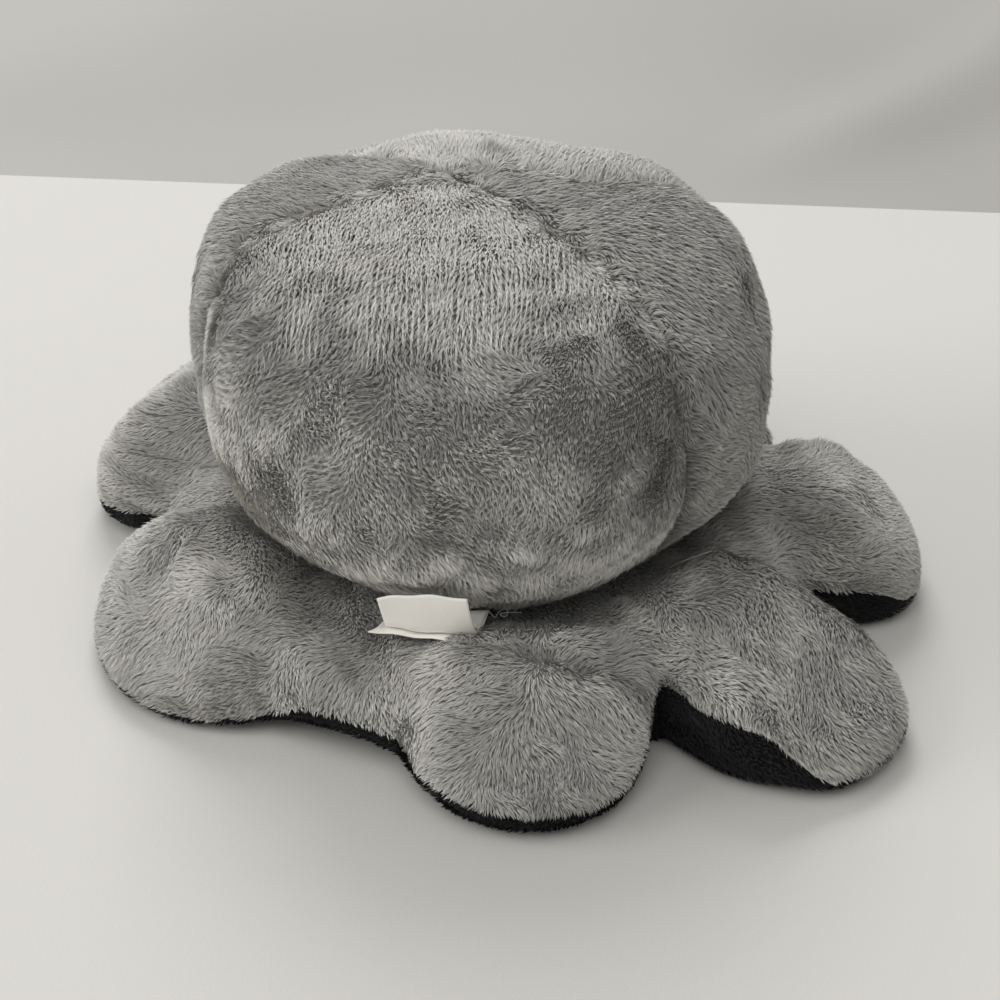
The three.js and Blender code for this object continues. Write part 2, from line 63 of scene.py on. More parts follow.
# Tentacles: name, radius of the tip, half width in degrees with the two powers of the outline on the side of
# lower turns and on that of higher ones, length and rise of the middle line, fold at the root, and where the
# pile parts, as a turn from the middle and a radius
LOBE_ROWS = [
    ("front", 96, (18.5, 2.7, 2.3), (18.5, 2.7, 2.3), 34, 0.9, 1.5, (0, 30)),
    ("front_left", 99, (17.5, 2.7, 2.3), (17.5, 2.7, 2.3), 37, 1.1, 1.5, (0, 30)),
    ("left", 107, (16.5, 2.7, 2.3), (15, 2.7, 2.3), 47, 1.5, 1.0, (0, 50)),
    ("back_left", 96.5, (22.5, 2.6, 1.9), (27.2, 2, 0.91), 33, 0.8, 1.5, (14, 45)),
    ("back", 96.5, (22, 2, 1), (22, 2, 1), 32, 0.7, 1.2, (3, 68)),
    ("back_right", 115, (18.5, 2.3, 1.8), (14.5, 2.7, 2.3), 49, 1.5, 1.0, (2, 30)),
    ("right", 107, (13.5, 2.7, 2.3), (16.5, 2.7, 2.3), 44, 1.3, 1.0, (0, 40)),
    ("front_right", 93, (18.5, 2.7, 2.3), (18.5, 2.7, 2.3), 31, 0.9, 1.5, (0, 30)),
]
LOBE_KEYS = ("tip", "low", "high", "reach", "arch", "fold", "part")
TENTACLES = {name: dict(zip(LOBE_KEYS, values)) for name, *values in LOBE_ROWS}
# How much fuller the far half of two tentacles is, and how far in from the rim it is full, against the rest
KNOBS = {"left": (10.0, 10.0), "right": (7.5, 11.0)}
PLAIN_KNOB = (0.0, 14.0)
TIP_HEIGHT, RIM_PILE = 4.3, 1.4

# Webs between the tentacles: turn, radius of the rim, height of the top behind it
WEBS = np.array(
    [
        [30, 77, 21], [65, 77, 21], [104, 79, 20], [170, 76, 21.5], [228, 75.5, 26.5], [267, 78, 23.5],
        [310, 77, 21], [352, 77, 21],
    ]
)

# Rim all round: turn, height of the seam, height of the black belly inside it, and how far in from the rim
# that height is reached
RIM = np.array(
    [
        [5, 8, 1, 10], [17, 5.5, 0.5, 10], [24, 8, 1, 10], [30, 12, 5, 10], [38, 8, 1, 10],
        [48, 5.5, 0.5, 10], [58, 8, 1, 10], [65, 12, 5, 10], [74, 7, 1, 10], [82, 6, 0.5, 10],
        [94, 7.5, 1, 10], [97, 10, 2, 10], [104, 13, 4, 10], [112, 9, 2, 10], [120, 5, 0.5, 10],
        [131, 4, 0.5, 10], [149, 3.7, 0.5, 10], [156, 5.5, 2, 10], [160, 8, 4, 10], [165, 12, 5.5, 8],
        [172, 13.5, 6, 8], [178, 12.5, 5.5, 8], [184, 10, 2.5, 8], [189, 8.5, 1, 7],
        [195.5, 8.5, 0.5, 6], [206, 8, 0.5, 6], [213, 6.5, 0.5, 7], [217, 6, 0.5, 8], [221, 8, 0.6, 5],
        [224, 12, 0.8, 4], [227, 17, 1, 4], [229, 18.5, 1, 4], [232, 18.5, 1, 4], [234.5, 18, 1, 4],
        [235.8, 13.5, 0.8, 5], [237.5, 9, 0.5, 7], [239.3, 5.5, 0.5, 9], [246, 4.5, 0.5, 10],
        [256, 5, 0.5, 10], [261, 7, 1, 8], [267, 13, 1, 3], [274, 12.5, 0.5, 3], [277.5, 6, 0.5, 5],
        [292, 5.5, 0.5, 10], [300, 8, 2, 10], [310, 13, 5, 10], [322, 8, 1, 10], [333, 5.5, 0.5, 10],
        [344, 8, 1, 10], [353, 12, 5, 10],
    ]
)

# Creases and ridges of the upper side: turn and radius of both ends, width, height
CREASES = [
    (197, 62.5, 208, 66, 3.2, -2.4),
    (208, 66, 214, 71.2, 3.0, -3.6),
    (214, 71.2, 226, 77, 3.2, -3.8),
    (158.7, 57, 160, 65, 4.5, -2.4),
    (157.5, 66, 171, 71.5, 3.5, 1.8),
    (173.5, 57, 178, 69, 4.5, -2.2),
    (150, 58, 146, 72, 4.0, -1.2),
    (255, 69, 249, 97, 6.0, 1.0),
    (262, 66, 262, 80, 3.5, -1.5),
    (232, 62, 240, 72, 5.0, 1.0),
    (288, 56, 303, 62, 13.0, 3.4),
]


def turn_direction(turn):
    """Level unit vectors at turns in degrees; 0 is the row frame's front."""
    a = np.radians(turn)
    return np.stack([np.sin(a), -np.cos(a), np.zeros_like(a)], -1)


def smooth(x, low, high):
    """A soft step from 0 at low to 1 at high."""
    t = np.clip((x - low) / (high - low), 0, 1)
    return t * t * (3 - 2 * t)


def bell(x, width):
    """A bump of 1 at 0 that fades over a width."""
    return np.exp(-((x / width) ** 2))


def polar(points):
    """Turns and radii of points, seen from above."""
    x, y = points[:, 0], points[:, 1]
    return np.degrees(np.arctan2(x, -y)) % 360, np.hypot(x, y)


# The neck's axis and each tentacle's turn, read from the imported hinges
offsets = []
for joint in frame["joints"]:
    lobe = TENTACLES[joint["child"].replace("tentacle_", "")]
    axis = joint["axis"]
    lobe["turn"] = math.degrees(math.atan2(-axis[1], -axis[0])) % 360
    hinge = np.array(joint["pos_m"][:2]) / MM
    offsets.append(hinge - turn_direction(lobe["turn"])[:2] * HINGE_RADIUS)
AXIS = np.append(np.mean(offsets, 0), 0.0)


def to_frame(points):
    return (np.asarray(points) + AXIS) * MM


# Meshes


def mesh_object(name, points, loops, starts, material, uv=None):
    """A smooth mesh in the row frame from points in millimetres and flat arrays of face corners."""
    mesh = bpy.data.meshes.new(name)
    mesh.vertices.add(len(points))
    mesh.vertices.foreach_set("co", to_frame(points).astype(np.float32).ravel())
    mesh.loops.add(len(loops))
    mesh.loops.foreach_set("vertex_index", loops.astype(np.int32))
    mesh.polygons.add(len(starts))
    mesh.polygons.foreach_set("loop_start", starts.astype(np.int32))
    mesh.polygons.foreach_set("use_smooth", np.ones(len(starts), bool))
    if uv is not None:
        layer = mesh.uv_layers.new(name="OFBake")
        layer.data.foreach_set("uv", uv[loops].astype(np.float32).ravel())
    mesh.update(calc_edges=True)
    mesh.validate()
    mesh.materials.append(material)
    obj = bpy.data.objects.new(name, mesh)
    bpy.context.scene.collection.objects.link(obj)
    return obj


def grid_quads(rows, columns, closed=False):
    """Corner indices of the quads of a grid of points, rows times columns."""
    r, c = np.meshgrid(np.arange(rows - 1), np.arange(columns if closed else columns - 1), indexing="ij")
    n = (c + 1) % columns
    quads = np.stack([r * columns + c, (r + 1) * columns + c, (r + 1) * columns + n, r * columns + n], -1)
    return quads.reshape(-1, 4)


def compact(points, quads):
    used, index = np.unique(quads, return_inverse=True)
    return points[used], index.reshape(quads.shape)


def skin_object(name, points, quads, material, thickness=0.0):
    """A skin of quads, which a thickness makes solid to both sides."""
    obj = mesh_object(name, points, quads.ravel(), np.arange(len(quads)) * 4, material)
    if thickness:
        solid = obj.modifiers.new("Cloth thickness", "SOLIDIFY")
        solid.thickness = thickness * MM
        solid.offset = 0
    return obj


def point_normals(points, quads):
    """Outward unit normals at the points, weighted by the area of the faces."""
    a, b, c, d = (points[quads[:, i]] for i in range(4))
    face = np.cross(c - a, d - b)
    out = np.zeros_like(points)
    for i in range(4):
        np.add.at(out, quads[:, i], face)
    return out / np.maximum(np.linalg.norm(out, axis=1, keepdims=True), 1e-12)


def smooth_path(corners, count):
    """Points at even steps along a smooth curve through corners."""
    corners = np.asarray(corners, float)
    padded = np.concatenate([2 * corners[:1] - corners[1:2], corners, 2 * corners[-1:] - corners[-2:-1]])
    t = np.linspace(0, len(corners) - 1, count)
    i = np.minimum(t.astype(int), len(corners) - 2)
    t = (t - i)[:, None]
    a, b, c, d = (padded[i + k] for k in range(4))
    return 0.5 * (2 * b + (c - a) * t + (2 * a - 5 * b + 4 * c - d) * t**2 + (3 * b - a - 3 * c + d) * t**3)


def tube_object(name, corners, radius, material, sides=6):
    path = smooth_path(corners, 16 * len(corners))
    along = unit(np.gradient(path, axis=0))
    side = unit(np.cross(along, [0.3, 0.2, 1.0]))
    other = np.cross(along, side)
    a = np.linspace(0, 2 * math.pi, sides, endpoint=False)
    ring = side[:, None] * np.cos(a)[None, :, None] + other[:, None] * np.sin(a)[None, :, None]
    points = (path[:, None] + radius * ring).reshape(-1, 3)
    return skin_object(name, points, grid_quads(len(path), sides, closed=True), material)


# Smooth noise and the pile that grows on a skin


def wave_sum(k, phase, size):
    """Value and slope of a sum of sine waves, scaled to about one."""
    scale = math.sqrt(2 / len(k))

    def value(p):
        return np.sin(p @ k.T + phase).sum(-1) * scale

    def slope(p):
        return (np.cos(p @ k.T + phase) @ k) * scale / size

    return value, slope


def wave_field(seed, wavelength, count=14, spread=(0.7, 1.4), stretch=(1.0, 1.0, 1.0)):
    """Sum of sine waves of about one wavelength, and its slope.

    A stretch below 1 draws the waves out along that axis.
    """
    rng = np.random.default_rng(seed)
    k = rng.normal(size=(count, 3))
    size = 2 * np.pi / wavelength
    k *= size * rng.uniform(*spread, (count, 1)) / np.linalg.norm(k, axis=1, keepdims=True)
    k *= stretch
    phase = rng.uniform(0, 2 * np.pi, count)
    return wave_sum(k, phase, size)


def streak_field(seed, wavelength, way, count=16):
    """Waves whose crests run along a turn and down, as the lines of a combed pile do."""
    rng = np.random.default_rng(seed)
    along, aside = turn_direction(way), turn_direction(way + 90)
    size = 2 * np.pi / wavelength
    k = aside * (size * rng.choice([-1, 1], count) * rng.uniform(0.6, 1.4, count))[:, None]
    k += 0.1 * size * (along * rng.normal(size=(count, 1)) + [0, 0, 1] * rng.normal(size=(count, 1)))
    return wave_sum(k, rng.uniform(0, 2 * np.pi, count), size)


def waves(seed, wavelength):
    return wave_field(seed, wavelength)[0]


def unit(v):
    return v / np.maximum(np.linalg.norm(v, axis=-1, keepdims=True), 1e-9)


def turned(v, axis, angle):
    """v turned about unit axis, which is at a right angle to it."""
    return v * np.cos(angle)[:, None] + np.cross(axis, v) * np.sin(angle)[:, None]


def tangent(v, up):
    """v without its part along up."""
    return v - (v * up).sum(-1, keepdims=True) * up


def hashed(cells, seed):
    """Three even random numbers for each whole-number cell."""
    h = cells.astype(np.int64) @ np.array([73856093, 19349663, 83492791]) + seed * 2654435761
    out = []
    for _ in range(3):
        h = (h * 6364136223846793005 + 1442695040888963407) & 0x7FFFFFFFFFFFFFFF
        out.append(((h >> 20) & 0xFFFFF) / 0xFFFFF)
    return np.stack(out, -1)


# Strands: size of a clump, how far its strands gather, how they turn, bow and vary in tone, how much lighter
# they are painted on a ridge and darker off it as painted light and shade, how deep they root, how narrow the
# root is, and the lowest place that they reach
CLUMP, CLUMP_PULL, CLUMP_TURN, STRAND_TURN, STRAND_BOW = 0.8, 0.3, 0.35, 0.1, 0.26
CLUMP_TONE, STRAND_TONE, RIDGE_SHADE_TONE = 0.14, 0.05, 0.8
ROOT_DEPTH, ROOT_WIDTH, MIDDLE_PULL, LOWEST_STRAND = 0.2, 0.7, 0.6, 0.15


def grow(name, points, quads, material, field, density, half_width, seed, extra=None, parts=1):
    """Pile: ribbons of two segments that stand on a skin, lean along its nap and gather in clumps.

    field(root, up, extra) gives for each strand its nap, length, lean in degrees from the skin, tone from 0
    to 1, the ridges that it is drawn to, each a weight with a wave field, and whether it grows at all. extra
    holds values at the points of the skin. density is in strands for each square millimetre, and parts is the
    number of meshes that share the strands.
    """
    rng = np.random.default_rng(seed)
    normals = point_normals(points, quads)
    tris = np.concatenate([quads[:, [0, 1, 2]], quads[:, [0, 2, 3]]])
    a, b, c = (points[tris[:, i]] for i in range(3))
    total = (np.linalg.norm(np.cross(b - a, c - a), axis=1) / 2).cumsum()
    count = int(total[-1] * density)
    pick = np.searchsorted(total, (np.arange(count) + rng.random(count)) / count * total[-1])
    corner = tris[np.minimum(pick, len(tris) - 1)]
    u, v = rng.random((2, count))
    u, v = np.where(u + v > 1, [1 - u, 1 - v], [u, v])
    shares = np.stack([1 - u - v, u, v], -1)

    def at(values):
        return (values[corner] * shares[..., None]).sum(1)

    root, up = at(points), unit(at(normals))
    more = at(extra) if extra is not None else None
    nap, length, lift, tone, ridges, grows = field(root, up, more)
    grows = np.broadcast_to(grows, count)
    ridges = [(np.broadcast_to(weight, count)[grows], *waves) for weight, waves in ridges]
    strands = (root, up, nap, length, lift, tone)
    root, up, nap, length, lift, tone = (
        np.broadcast_to(value, (count, *np.shape(value)[1:]))[grows] for value in strands
    )
    count = len(root)
    cells = np.floor(root / CLUMP)
    luck = hashed(cells, seed)
    stray = (luck[:, 0] - 0.5) * CLUMP_TURN + rng.normal(0, STRAND_TURN, count)
    along = turned(unit(tangent(nap, up)), up, stray)
    gather = tangent((cells + 0.2 + 0.6 * luck) * CLUMP - root, up) * CLUMP_PULL
    long = length * (0.82 + 0.26 * luck[:, 1] + rng.uniform(-0.1, 0.1, count))
    lean = np.radians(lift + (luck[:, 2] - 0.5) * 14 + rng.normal(0, 4, count))

    def half_strand(angle):
        return (0.5 * long)[:, None] * (along * np.cos(angle)[:, None] + up * np.sin(angle)[:, None])

    middle = root + half_strand(lean + STRAND_BOW)
    tip = middle + half_strand(lean - STRAND_BOW)
    crest = np.stack(
        [sum(weight * value(place) for weight, value, _ in ridges) for place in (root, middle, tip)], 1
    )
    for place, share in ((middle, MIDDLE_PULL), (tip, 1.0)):
        pull = sum(weight[:, None] * slope(place) for weight, _, slope in ridges)
        place += share * (gather + tangent(pull, up))
    side = turned(np.cross(up, along), along, rng.uniform(-0.4, 0.4, count))
    side *= half_width
    root_side = side * ROOT_WIDTH
    root = root - ROOT_DEPTH * up
    strand = np.stack([root - root_side, root + root_side, middle - side, middle + side, tip], 1)
    shade = tone + CLUMP_TONE * (luck[:, 1] - 0.5) + rng.normal(0, STRAND_TONE, count)
    # Strands are painted lighter on ridges and darker between them: painted light and shade of the pile.
    shade = np.clip(shade[:, None] + RIDGE_SHADE_TONE * crest, 0.02, 0.98)[:, [0, 0, 1, 1, 2]]
    strand[..., 2] = np.maximum(strand[..., 2], LOWEST_STRAND)
    made = []
    for part in range(parts):
        chosen = np.arange(part, count, parts)
        base = 5 * np.arange(len(chosen))[:, None]
        loops = (base + np.array([0, 1, 3, 2, 2, 3, 4])).ravel()
        starts = (7 * np.arange(len(chosen))[:, None] + np.array([0, 4])).ravel()
        uv = np.empty((len(chosen), 5, 2))
        uv[:, :, 0] = shade[chosen]
        uv[:, :, 1] = np.array([0.02, 0.02, 0.5, 0.5, 0.98])
        label = name if parts == 1 else f"{name}_{part + 1}"
        corners = strand[chosen].reshape(-1, 3)
        made.append(mesh_object(label, corners, loops, starts, material, uv.reshape(-1, 2)))
    return made


# Materials


def new_material(name, roughness, sheen=0.0, specular=0.3):
    material = bpy.data.materials.new(name)
    material.use_nodes = True
    tree = material.node_tree
    shader = tree.nodes["Principled BSDF"]
    shader.inputs["Roughness"].default_value = roughness
    shader.inputs["Sheen Weight"].default_value = sheen
    shader.inputs["Sheen Roughness"].default_value = 0.45
    shader.inputs["Specular IOR Level"].default_value = specular
    return material, tree, shader


def ramp(tree, value, stops):
    """Colour between stops, each a place from 0 to 1 with its colour."""
    node = tree.nodes.new("ShaderNodeValToRGB")
    elements = node.color_ramp.elements
    for element, (position, colour) in zip(elements, (stops[0], stops[-1])):
        element.position = position
        element.color = (*colour, 1)
    for position, colour in stops[1:-1]:
        elements.new(position).color = (*colour, 1)
    tree.links.new(value, node.inputs["Fac"])
    return node.outputs["Color"]


def multiplied(tree, a, b):
    mix = tree.nodes.new("ShaderNodeMix")
    mix.data_type = "RGBA"
    mix.blend_type = "MULTIPLY"
    mix.inputs["Factor"].default_value = 1.0
    tree.links.new(a, mix.inputs["A"])
    tree.links.new(b, mix.inputs["B"])
    return mix.outputs["Result"]


def noise_value(tree, scale, detail=3.0, stretch=None):
    place = tree.nodes.new("ShaderNodeTexCoord").outputs["Object"]
    if stretch:
        mapping = tree.nodes.new("ShaderNodeMapping")
        mapping.inputs["Scale"].default_value = stretch
        tree.links.new(place, mapping.inputs["Vector"])
        place = mapping.outputs["Vector"]
    noise = tree.nodes.new("ShaderNodeTexNoise")
    noise.inputs["Scale"].default_value = scale
    noise.inputs["Detail"].default_value = detail
    tree.links.new(place, noise.inputs["Vector"])
    return noise.outputs["Fac"]


def coloured(tree, shader, colour):
    tree.links.new(colour, shader.inputs["Base Color"])


def bumped(tree, shader, value, strength, distance):
    bumps = tree.nodes.new("ShaderNodeBump")
    bumps.inputs["Strength"].default_value = strength
    bumps.inputs["Distance"].default_value = distance
    tree.links.new(value, bumps.inputs["Height"])
    tree.links.new(bumps.outputs["Normal"], shader.inputs["Normal"])


def pile_material(name, tones, along, sheen):
    """Pile colour from its own UV map: across is the tone of a clump, up is the place along a strand, painted
    darker towards the root as painted shade deep in the pile.
    """
    material, tree, shader = new_material(name, 0.85, sheen)
    uv = tree.nodes.new("ShaderNodeUVMap")
    uv.uv_map = "OFBake"
    parts = tree.nodes.new("ShaderNodeSeparateXYZ")
    tree.links.new(uv.outputs["UV"], parts.inputs["Vector"])
    colour = multiplied(tree, ramp(tree, parts.outputs["X"], tones), ramp(tree, parts.outputs["Y"], along))
    coloured(tree, shader, colour)
    return material


def backing_material(name, low, high, scale, bump):
    """The knitted ground of the plush, seen between the strands, painted darker than the pile as painted
    shade deep in the pile.
    """
    material, tree, shader = new_material(name, 0.95, 0.1, 0.1)
    noise = noise_value(tree, scale, 4.0)
    coloured(tree, shader, ramp(tree, noise, [(0.3, low), (0.7, high)]))
    bumped(tree, shader, noise, bump, 0.0006)
    return material


def grey(value):
    return (value, value * 0.972, value * 0.905)


# Along each strand the pile is painted darker towards the root: painted shade deep in the pile.
GREY_PILE = pile_material(
    "Grey plush pile",
    [(0.0, grey(0.26)), (0.5, grey(0.46)), (1.0, grey(0.78))],
    [(0.0, (0.62,) * 3), (0.5, (0.9,) * 3), (1.0, (1.0,) * 3)],
    0.3,
)
BLACK_PILE = pile_material(
    "Black plush pile",
    [(0.0, (0.006, 0.006, 0.007)), (1.0, (0.022, 0.022, 0.024))],
    [(0.0, (0.4,) * 3), (1.0, (1.0,) * 3)],
    0.06,
)
# The grey ground is painted dark: painted shade between the strands.
GREY_GROUND = backing_material("Grey plush ground", grey(0.2), grey(0.3), 900.0, 0.5)
BLACK_GROUND = backing_material("Black plush ground", (0.004,) * 3, (0.009,) * 3, 900.0, 0.5)

# Head: four gores, puffed between their seams

SHOULDER_LOW = math.pi - math.asin(NECK_RADIUS / HEAD_RADIUS)
HEAD_CENTRE = NECK_HEIGHT - BOWL_DEPTH * math.cos(SHOULDER_LOW)
PILE_DEPTH = 1.9
# Depth and width of a seam's stitch line, and of the pucker beside it, low on the head and near the crown
STITCH_DEPTH, STITCH_WIDTH = 0.9, 1.2
PUCKER_LOW, PUCKER_CROWN, PUCKER_WIDTH = 0.4, 1.2, 5.0
BROAD_LUMPS, FINE_LUMPS = 0.6, 0.25
broad, fine = waves(3, 52.0), waves(4, 17.0)


def profile(down):
    """Radius and height of the head at an angle down from its crown, without the puff of its gores."""
    sine, cosine = np.sin(down), np.cos(down)
    upper = down < math.pi / 2
    radius = HEAD_RADIUS * np.where(upper, sine**SHOULDER, sine)
    return radius, np.where(upper, CROWN_RISE * np.clip(cosine, 0, 1) ** CROWN_FULL, BOWL_DEPTH * cosine)


steps = np.linspace(0.0, 1.0, 6001)
profile_down = np.concatenate(
    [math.pi / 2 * (1 - (1 - steps[:-1]) ** 2), math.pi / 2 + (SHOULDER_LOW - math.pi / 2) * steps]
)[4:]
profile_radius, profile_height = profile(profile_down)
profile_length = np.concatenate([[0], np.hypot(np.diff(profile_radius), np.diff(profile_height)).cumsum()])
profile_out = -np.gradient(profile_height, profile_length)
profile_up = np.gradient(profile_radius, profile_length)


def off_turn(turn, centre):
    """How far a turn lies past a centre, from -180 to 180 degrees."""
    return (turn - centre + 180) % 360 - 180


def seam_turn(index, down):
    """Turn of the seam at which a gore starts; indices past the last gore go on round."""
    wraps, index = divmod(index, len(GORES))
    _, crown, side = GORES[index]
    return crown + (side - crown) * smooth(down, 0, math.pi / 2) + 360 * wraps


# Full and hollow places of the head: turn, angle down from the crown, their half widths in degrees, height
SWELLS = [
    (284, 48, 34, 17, 5.2),
    (292, 88, 38, 22, -2.4),
    (100, 48, 34, 16, 3.2),
    (50, 38, 20, 13, -2.2),
    (10, 37, 32, 14, -2.0),
]


def head_surface(index, across, down):
    """Points of a gore's skin, and for each its distance from the nearest seam."""
    first, last = seam_turn(index, down), seam_turn(index + 1, down)
    turn = first + (last - first) * across
    neck = math.sin(SHOULDER_LOW)
    puff = GORE_PUFF * np.clip((np.sin(down) - neck) / (1 - neck), 0, 1) * (1 - (2 * across - 1) ** 4)
    bare_radius, height = profile(down)
    radius = bare_radius * (1 + puff / HEAD_RADIUS)
    lean = CROWN_SHIFT * np.clip(np.cos(down), 0, 1) ** 2
    centre = turn_direction(np.full_like(down, CROWN_TURN)) * lean[..., None]
    centre[..., 2] = HEAD_CENTRE + height
    out = turn_direction(turn)
    edge = np.minimum(across, 1 - across) * np.radians(last - first) * radius
    pucker = PUCKER_LOW + PUCKER_CROWN * smooth(down, 1.3, 0.5)
    groove = STITCH_DEPTH * bell(edge, STITCH_WIDTH) + pucker * bell(edge, PUCKER_WIDTH)
    groove *= smooth(down, 0.1, 0.5)
    bare = centre + out * radius[..., None]
    normal = out * np.interp(down, profile_down, profile_out)[..., None]
    normal[..., 2] = np.interp(down, profile_down, profile_up)
    swell = BROAD_LUMPS * broad(bare) + FINE_LUMPS * fine(bare) - groove - PILE_DEPTH
    for at_turn, at_down, wide, tall, size in SWELLS:
        far_across, far_down = off_turn(turn, at_turn) / wide, (np.degrees(down) - at_down) / tall
        swell += size * np.exp(-(far_across**2) - far_down**2)
    return bare + normal * swell[..., None], edge


nap_wide, nap_close, nap_fine = waves(11, 60.0), waves(12, 19.0), waves(13, 9.0)
patch_wide, patch_close = waves(21, 38.0), waves(22, 12.0)
labyrinth = wave_field(14, 1.25, 16, (0.9, 1.1))
bars = wave_field(16, 1.2, 16, (0.9, 1.1), (0.3, 0.3, 1.0))
# Looks of the gores' pile: tone, which differs from gore to gore as painted light and shade, disorder below
# the crown, how much lighter the low band and the crown are painted, as painted light, and the turn that it
# is combed towards
HEAD_LOOKS = {
    "left": dict(tone=0.46, rough=0.3, band=0.14, light=0.0, way=92),
    "back": dict(tone=0.52, rough=1.0, band=0.2, light=0.26, way=194),
    "right": dict(tone=0.38, rough=0.4, band=0.05, light=0.05, way=276),
    "front": dict(tone=0.52, rough=0.3, band=0.1, light=0.25, way=2),
}
# Angles down between which the pile gets rough and smooth again, and its low band and crown are painted
# lighter, as painted light
ROUGH_START, ROUGH_END, LOW_BAND, LIT_CROWN = (0.85, 1.25), (2.05, 1.75), (1.7, 1.95), (1.05, 0.45)
HEAD_LENGTH, HEAD_LIFT, SEAM_PILE, SEAM_GAP = 3.4, 18, 3.0, 0.25
# The back gore's tone by angle down, painted lighter near the crown and low down and darker in its middle as
# painted light and shade, and its dark swirl: middle and half size across and down
BACK_DOWN, BACK_LIGHT_AND_SHADE = [0.3, 0.7, 1.05, 1.3, 1.6, 2.0], [0.16, 0.1, -0.28, -0.14, 0.14, 0.14]
SWIRL_ACROSS, SWIRL_DOWN = (0.64, 0.1), (1.0, 0.13)
# Embroidered eyes: shares across the front gore, angle down, half sizes, and the bare place above each
EYE_ACROSS, EYE_DOWN, EYE_WIDE, EYE_TALL = (0.28, 0.72), 97.0, 0.052, 8.0
BARE_ABOVE, BARE_MORE, BARE_SHARE = 1.3, 1.2, 0.92
# Tuft near the crown: place in plan and half width, extra lean and length
TUFT, TUFT_WIDTH, TUFT_LIFT, TUFT_LENGTH = np.array([6.0, -22.2]), 2.2, 45, 2.0


def head_field(index):
    side = GORES[index][0]
    look = HEAD_LOOKS[side]
    streaks = streak_field(15, 1.4, look["way"])

    def field(root, up, extra):
        edge, across, down = extra.T
        wide, close, tiny = nap_wide(root), nap_close(root), nap_fine(root)
        wide_patch, close_patch = patch_wide(root), patch_close(root)
        wander = down + 0.09 * close_patch + 0.07 * wide_patch
        rough = look["rough"] * smooth(wander, *ROUGH_START) * smooth(wander, *ROUGH_END)
        rails = smooth(np.abs(across - 0.5) + 0.05 * close_patch, 0.24, 0.36) * smooth(wander, 0.7, 0.95)
        seam = bell(edge, SEAM_PILE)
        low_band = smooth(wander, *LOW_BAND)
        combed = turn_direction(look["way"]) * 0.9 + [0, 0, -1.0]
        nap = unit(tangent(np.tile(combed, (len(root), 1)), up))
        swirl = 0.1 * wide + 0.1 * close + 0.35 * low_band
        swirl += rough * (0.5 * wide + 0.5 * close + 0.3 * tiny) + seam * 1.1 * tiny
        length = HEAD_LENGTH - 1.5 * rough - 0.6 * seam
        lift = HEAD_LIFT + 26 * rough + 14 * seam + 4 * close_patch
        # The crown and the low band are painted lighter: painted light.
        tone = look["tone"] + look["light"] * smooth(wander, *LIT_CROWN) - 0.07 * rough
        tone += 0.05 * close_patch + 0.05 * wide_patch + look["band"] * low_band
        # Along the seams the pile is lighter high up and painted darker low down, as painted shade in the
        # seam grooves.
        tone += (0.1 + 0.08 * tiny - 0.25 * smooth(down, 1.0, 1.4)) * seam
        shown = edge > SEAM_GAP
        if side == "back":
            # Painted light and shade on the back gore: lighter near the crown and low down, darker in its
            # middle.
            tone += np.interp(wander, BACK_DOWN, BACK_LIGHT_AND_SHADE)
            # A painted highlight on the back gore's left rim low down, and painted light on its lower left.
            tone += 0.5 * smooth(across, 0.4, 0.12) * smooth(down, 1.0, 1.5)
            tone += 0.35 * smooth(across, 0.55, 0.3) * smooth(down, 1.5, 1.85)
            far_across = (across - SWIRL_ACROSS[0]) / SWIRL_ACROSS[1]
            far_down = (down - SWIRL_DOWN[0]) / SWIRL_DOWN[1]
            dark = np.exp(-(far_across**2) - far_down**2)
            tone -= 0.12 * dark
            swirl += dark + 0.2 * smooth(across, 0.4, 0.1) * (1 - rough)
        elif side == "front":
            near = ((root[:, :2] - TUFT) ** 2).sum(1) / TUFT_WIDTH**2
            tuft = np.exp(-near) * smooth(root[:, 2], 90, 100)
            lift += TUFT_LIFT * tuft
            length += TUFT_LENGTH * tuft
            for eye in EYE_ACROSS:
                above = (np.degrees(down) - EYE_DOWN + BARE_ABOVE) / (EYE_TALL + BARE_MORE)
                shown &= ((across - eye) / EYE_WIDE) ** 2 + above**2 > BARE_SHARE
        nap = turned(nap, up, swirl)
        combed_share = (1 - rough) * (1 - rails)
        ridges = [
            (0.25 * combed_share * (0.3 + 0.7 * smooth(down, 0.25, 0.65)), streaks),
            (0.26 * rails * (0.5 + 0.5 * rough), bars),
            (0.42 * rough * (1 - rails), labyrinth),
        ]
        return nap, length, lift, tone, ridges, shown

    return field


# Rows of the head's mesh at even steps along its profile, and two more that close it under the neck seam
head_rows = np.interp(np.linspace(0, profile_length[-1], 100), profile_length, profile_down)
head_rows = np.concatenate([head_rows, SHOULDER_LOW + np.array([0.06, 0.14])])
# Columns lie closer at the seams
GORE_COLUMNS, SEAM_CROWDING = 90, 0.108
columns_across = np.linspace(0, 1, GORE_COLUMNS)
columns_across -= SEAM_CROWDING * np.sin(2 * np.pi * columns_across)
# Each gore's strands for a square millimetre, half their width, and the number of their meshes
HEAD_PILE = {
    "left": (6.0, 0.13, 1),
    "back": (8.2, 0.115, 2),
    "right": (6.0, 0.13, 1),
    "front": (5.6, 0.13, 1),
}
for index, (side, _, _) in enumerate(GORES):
    down, across = np.meshgrid(head_rows, columns_across, indexing="ij")
    points, edge = head_surface(index, across, down)
    points = points.reshape(-1, 3)
    quads = grid_quads(len(head_rows), GORE_COLUMNS)
    skin = skin_object(f"head_{side}_gore_skin", points, quads, GREY_GROUND)
    hidden = [f"head_{side}_gore"] + (["head_stuffing"] if side == "back" else [])
    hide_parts(*hidden)
    density, half_width, parts = HEAD_PILE[side]
    pile = grow(
        f"head_{side}_gore_pile", points, quads, GREY_PILE, head_field(index), density, half_width,
        100 + index, extra=np.stack([edge, across, down], -1).reshape(-1, 3), parts=parts,
    )
    for piece in (skin, *pile):
        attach(piece, BODY)

# Rows of satin stitch over a small dome

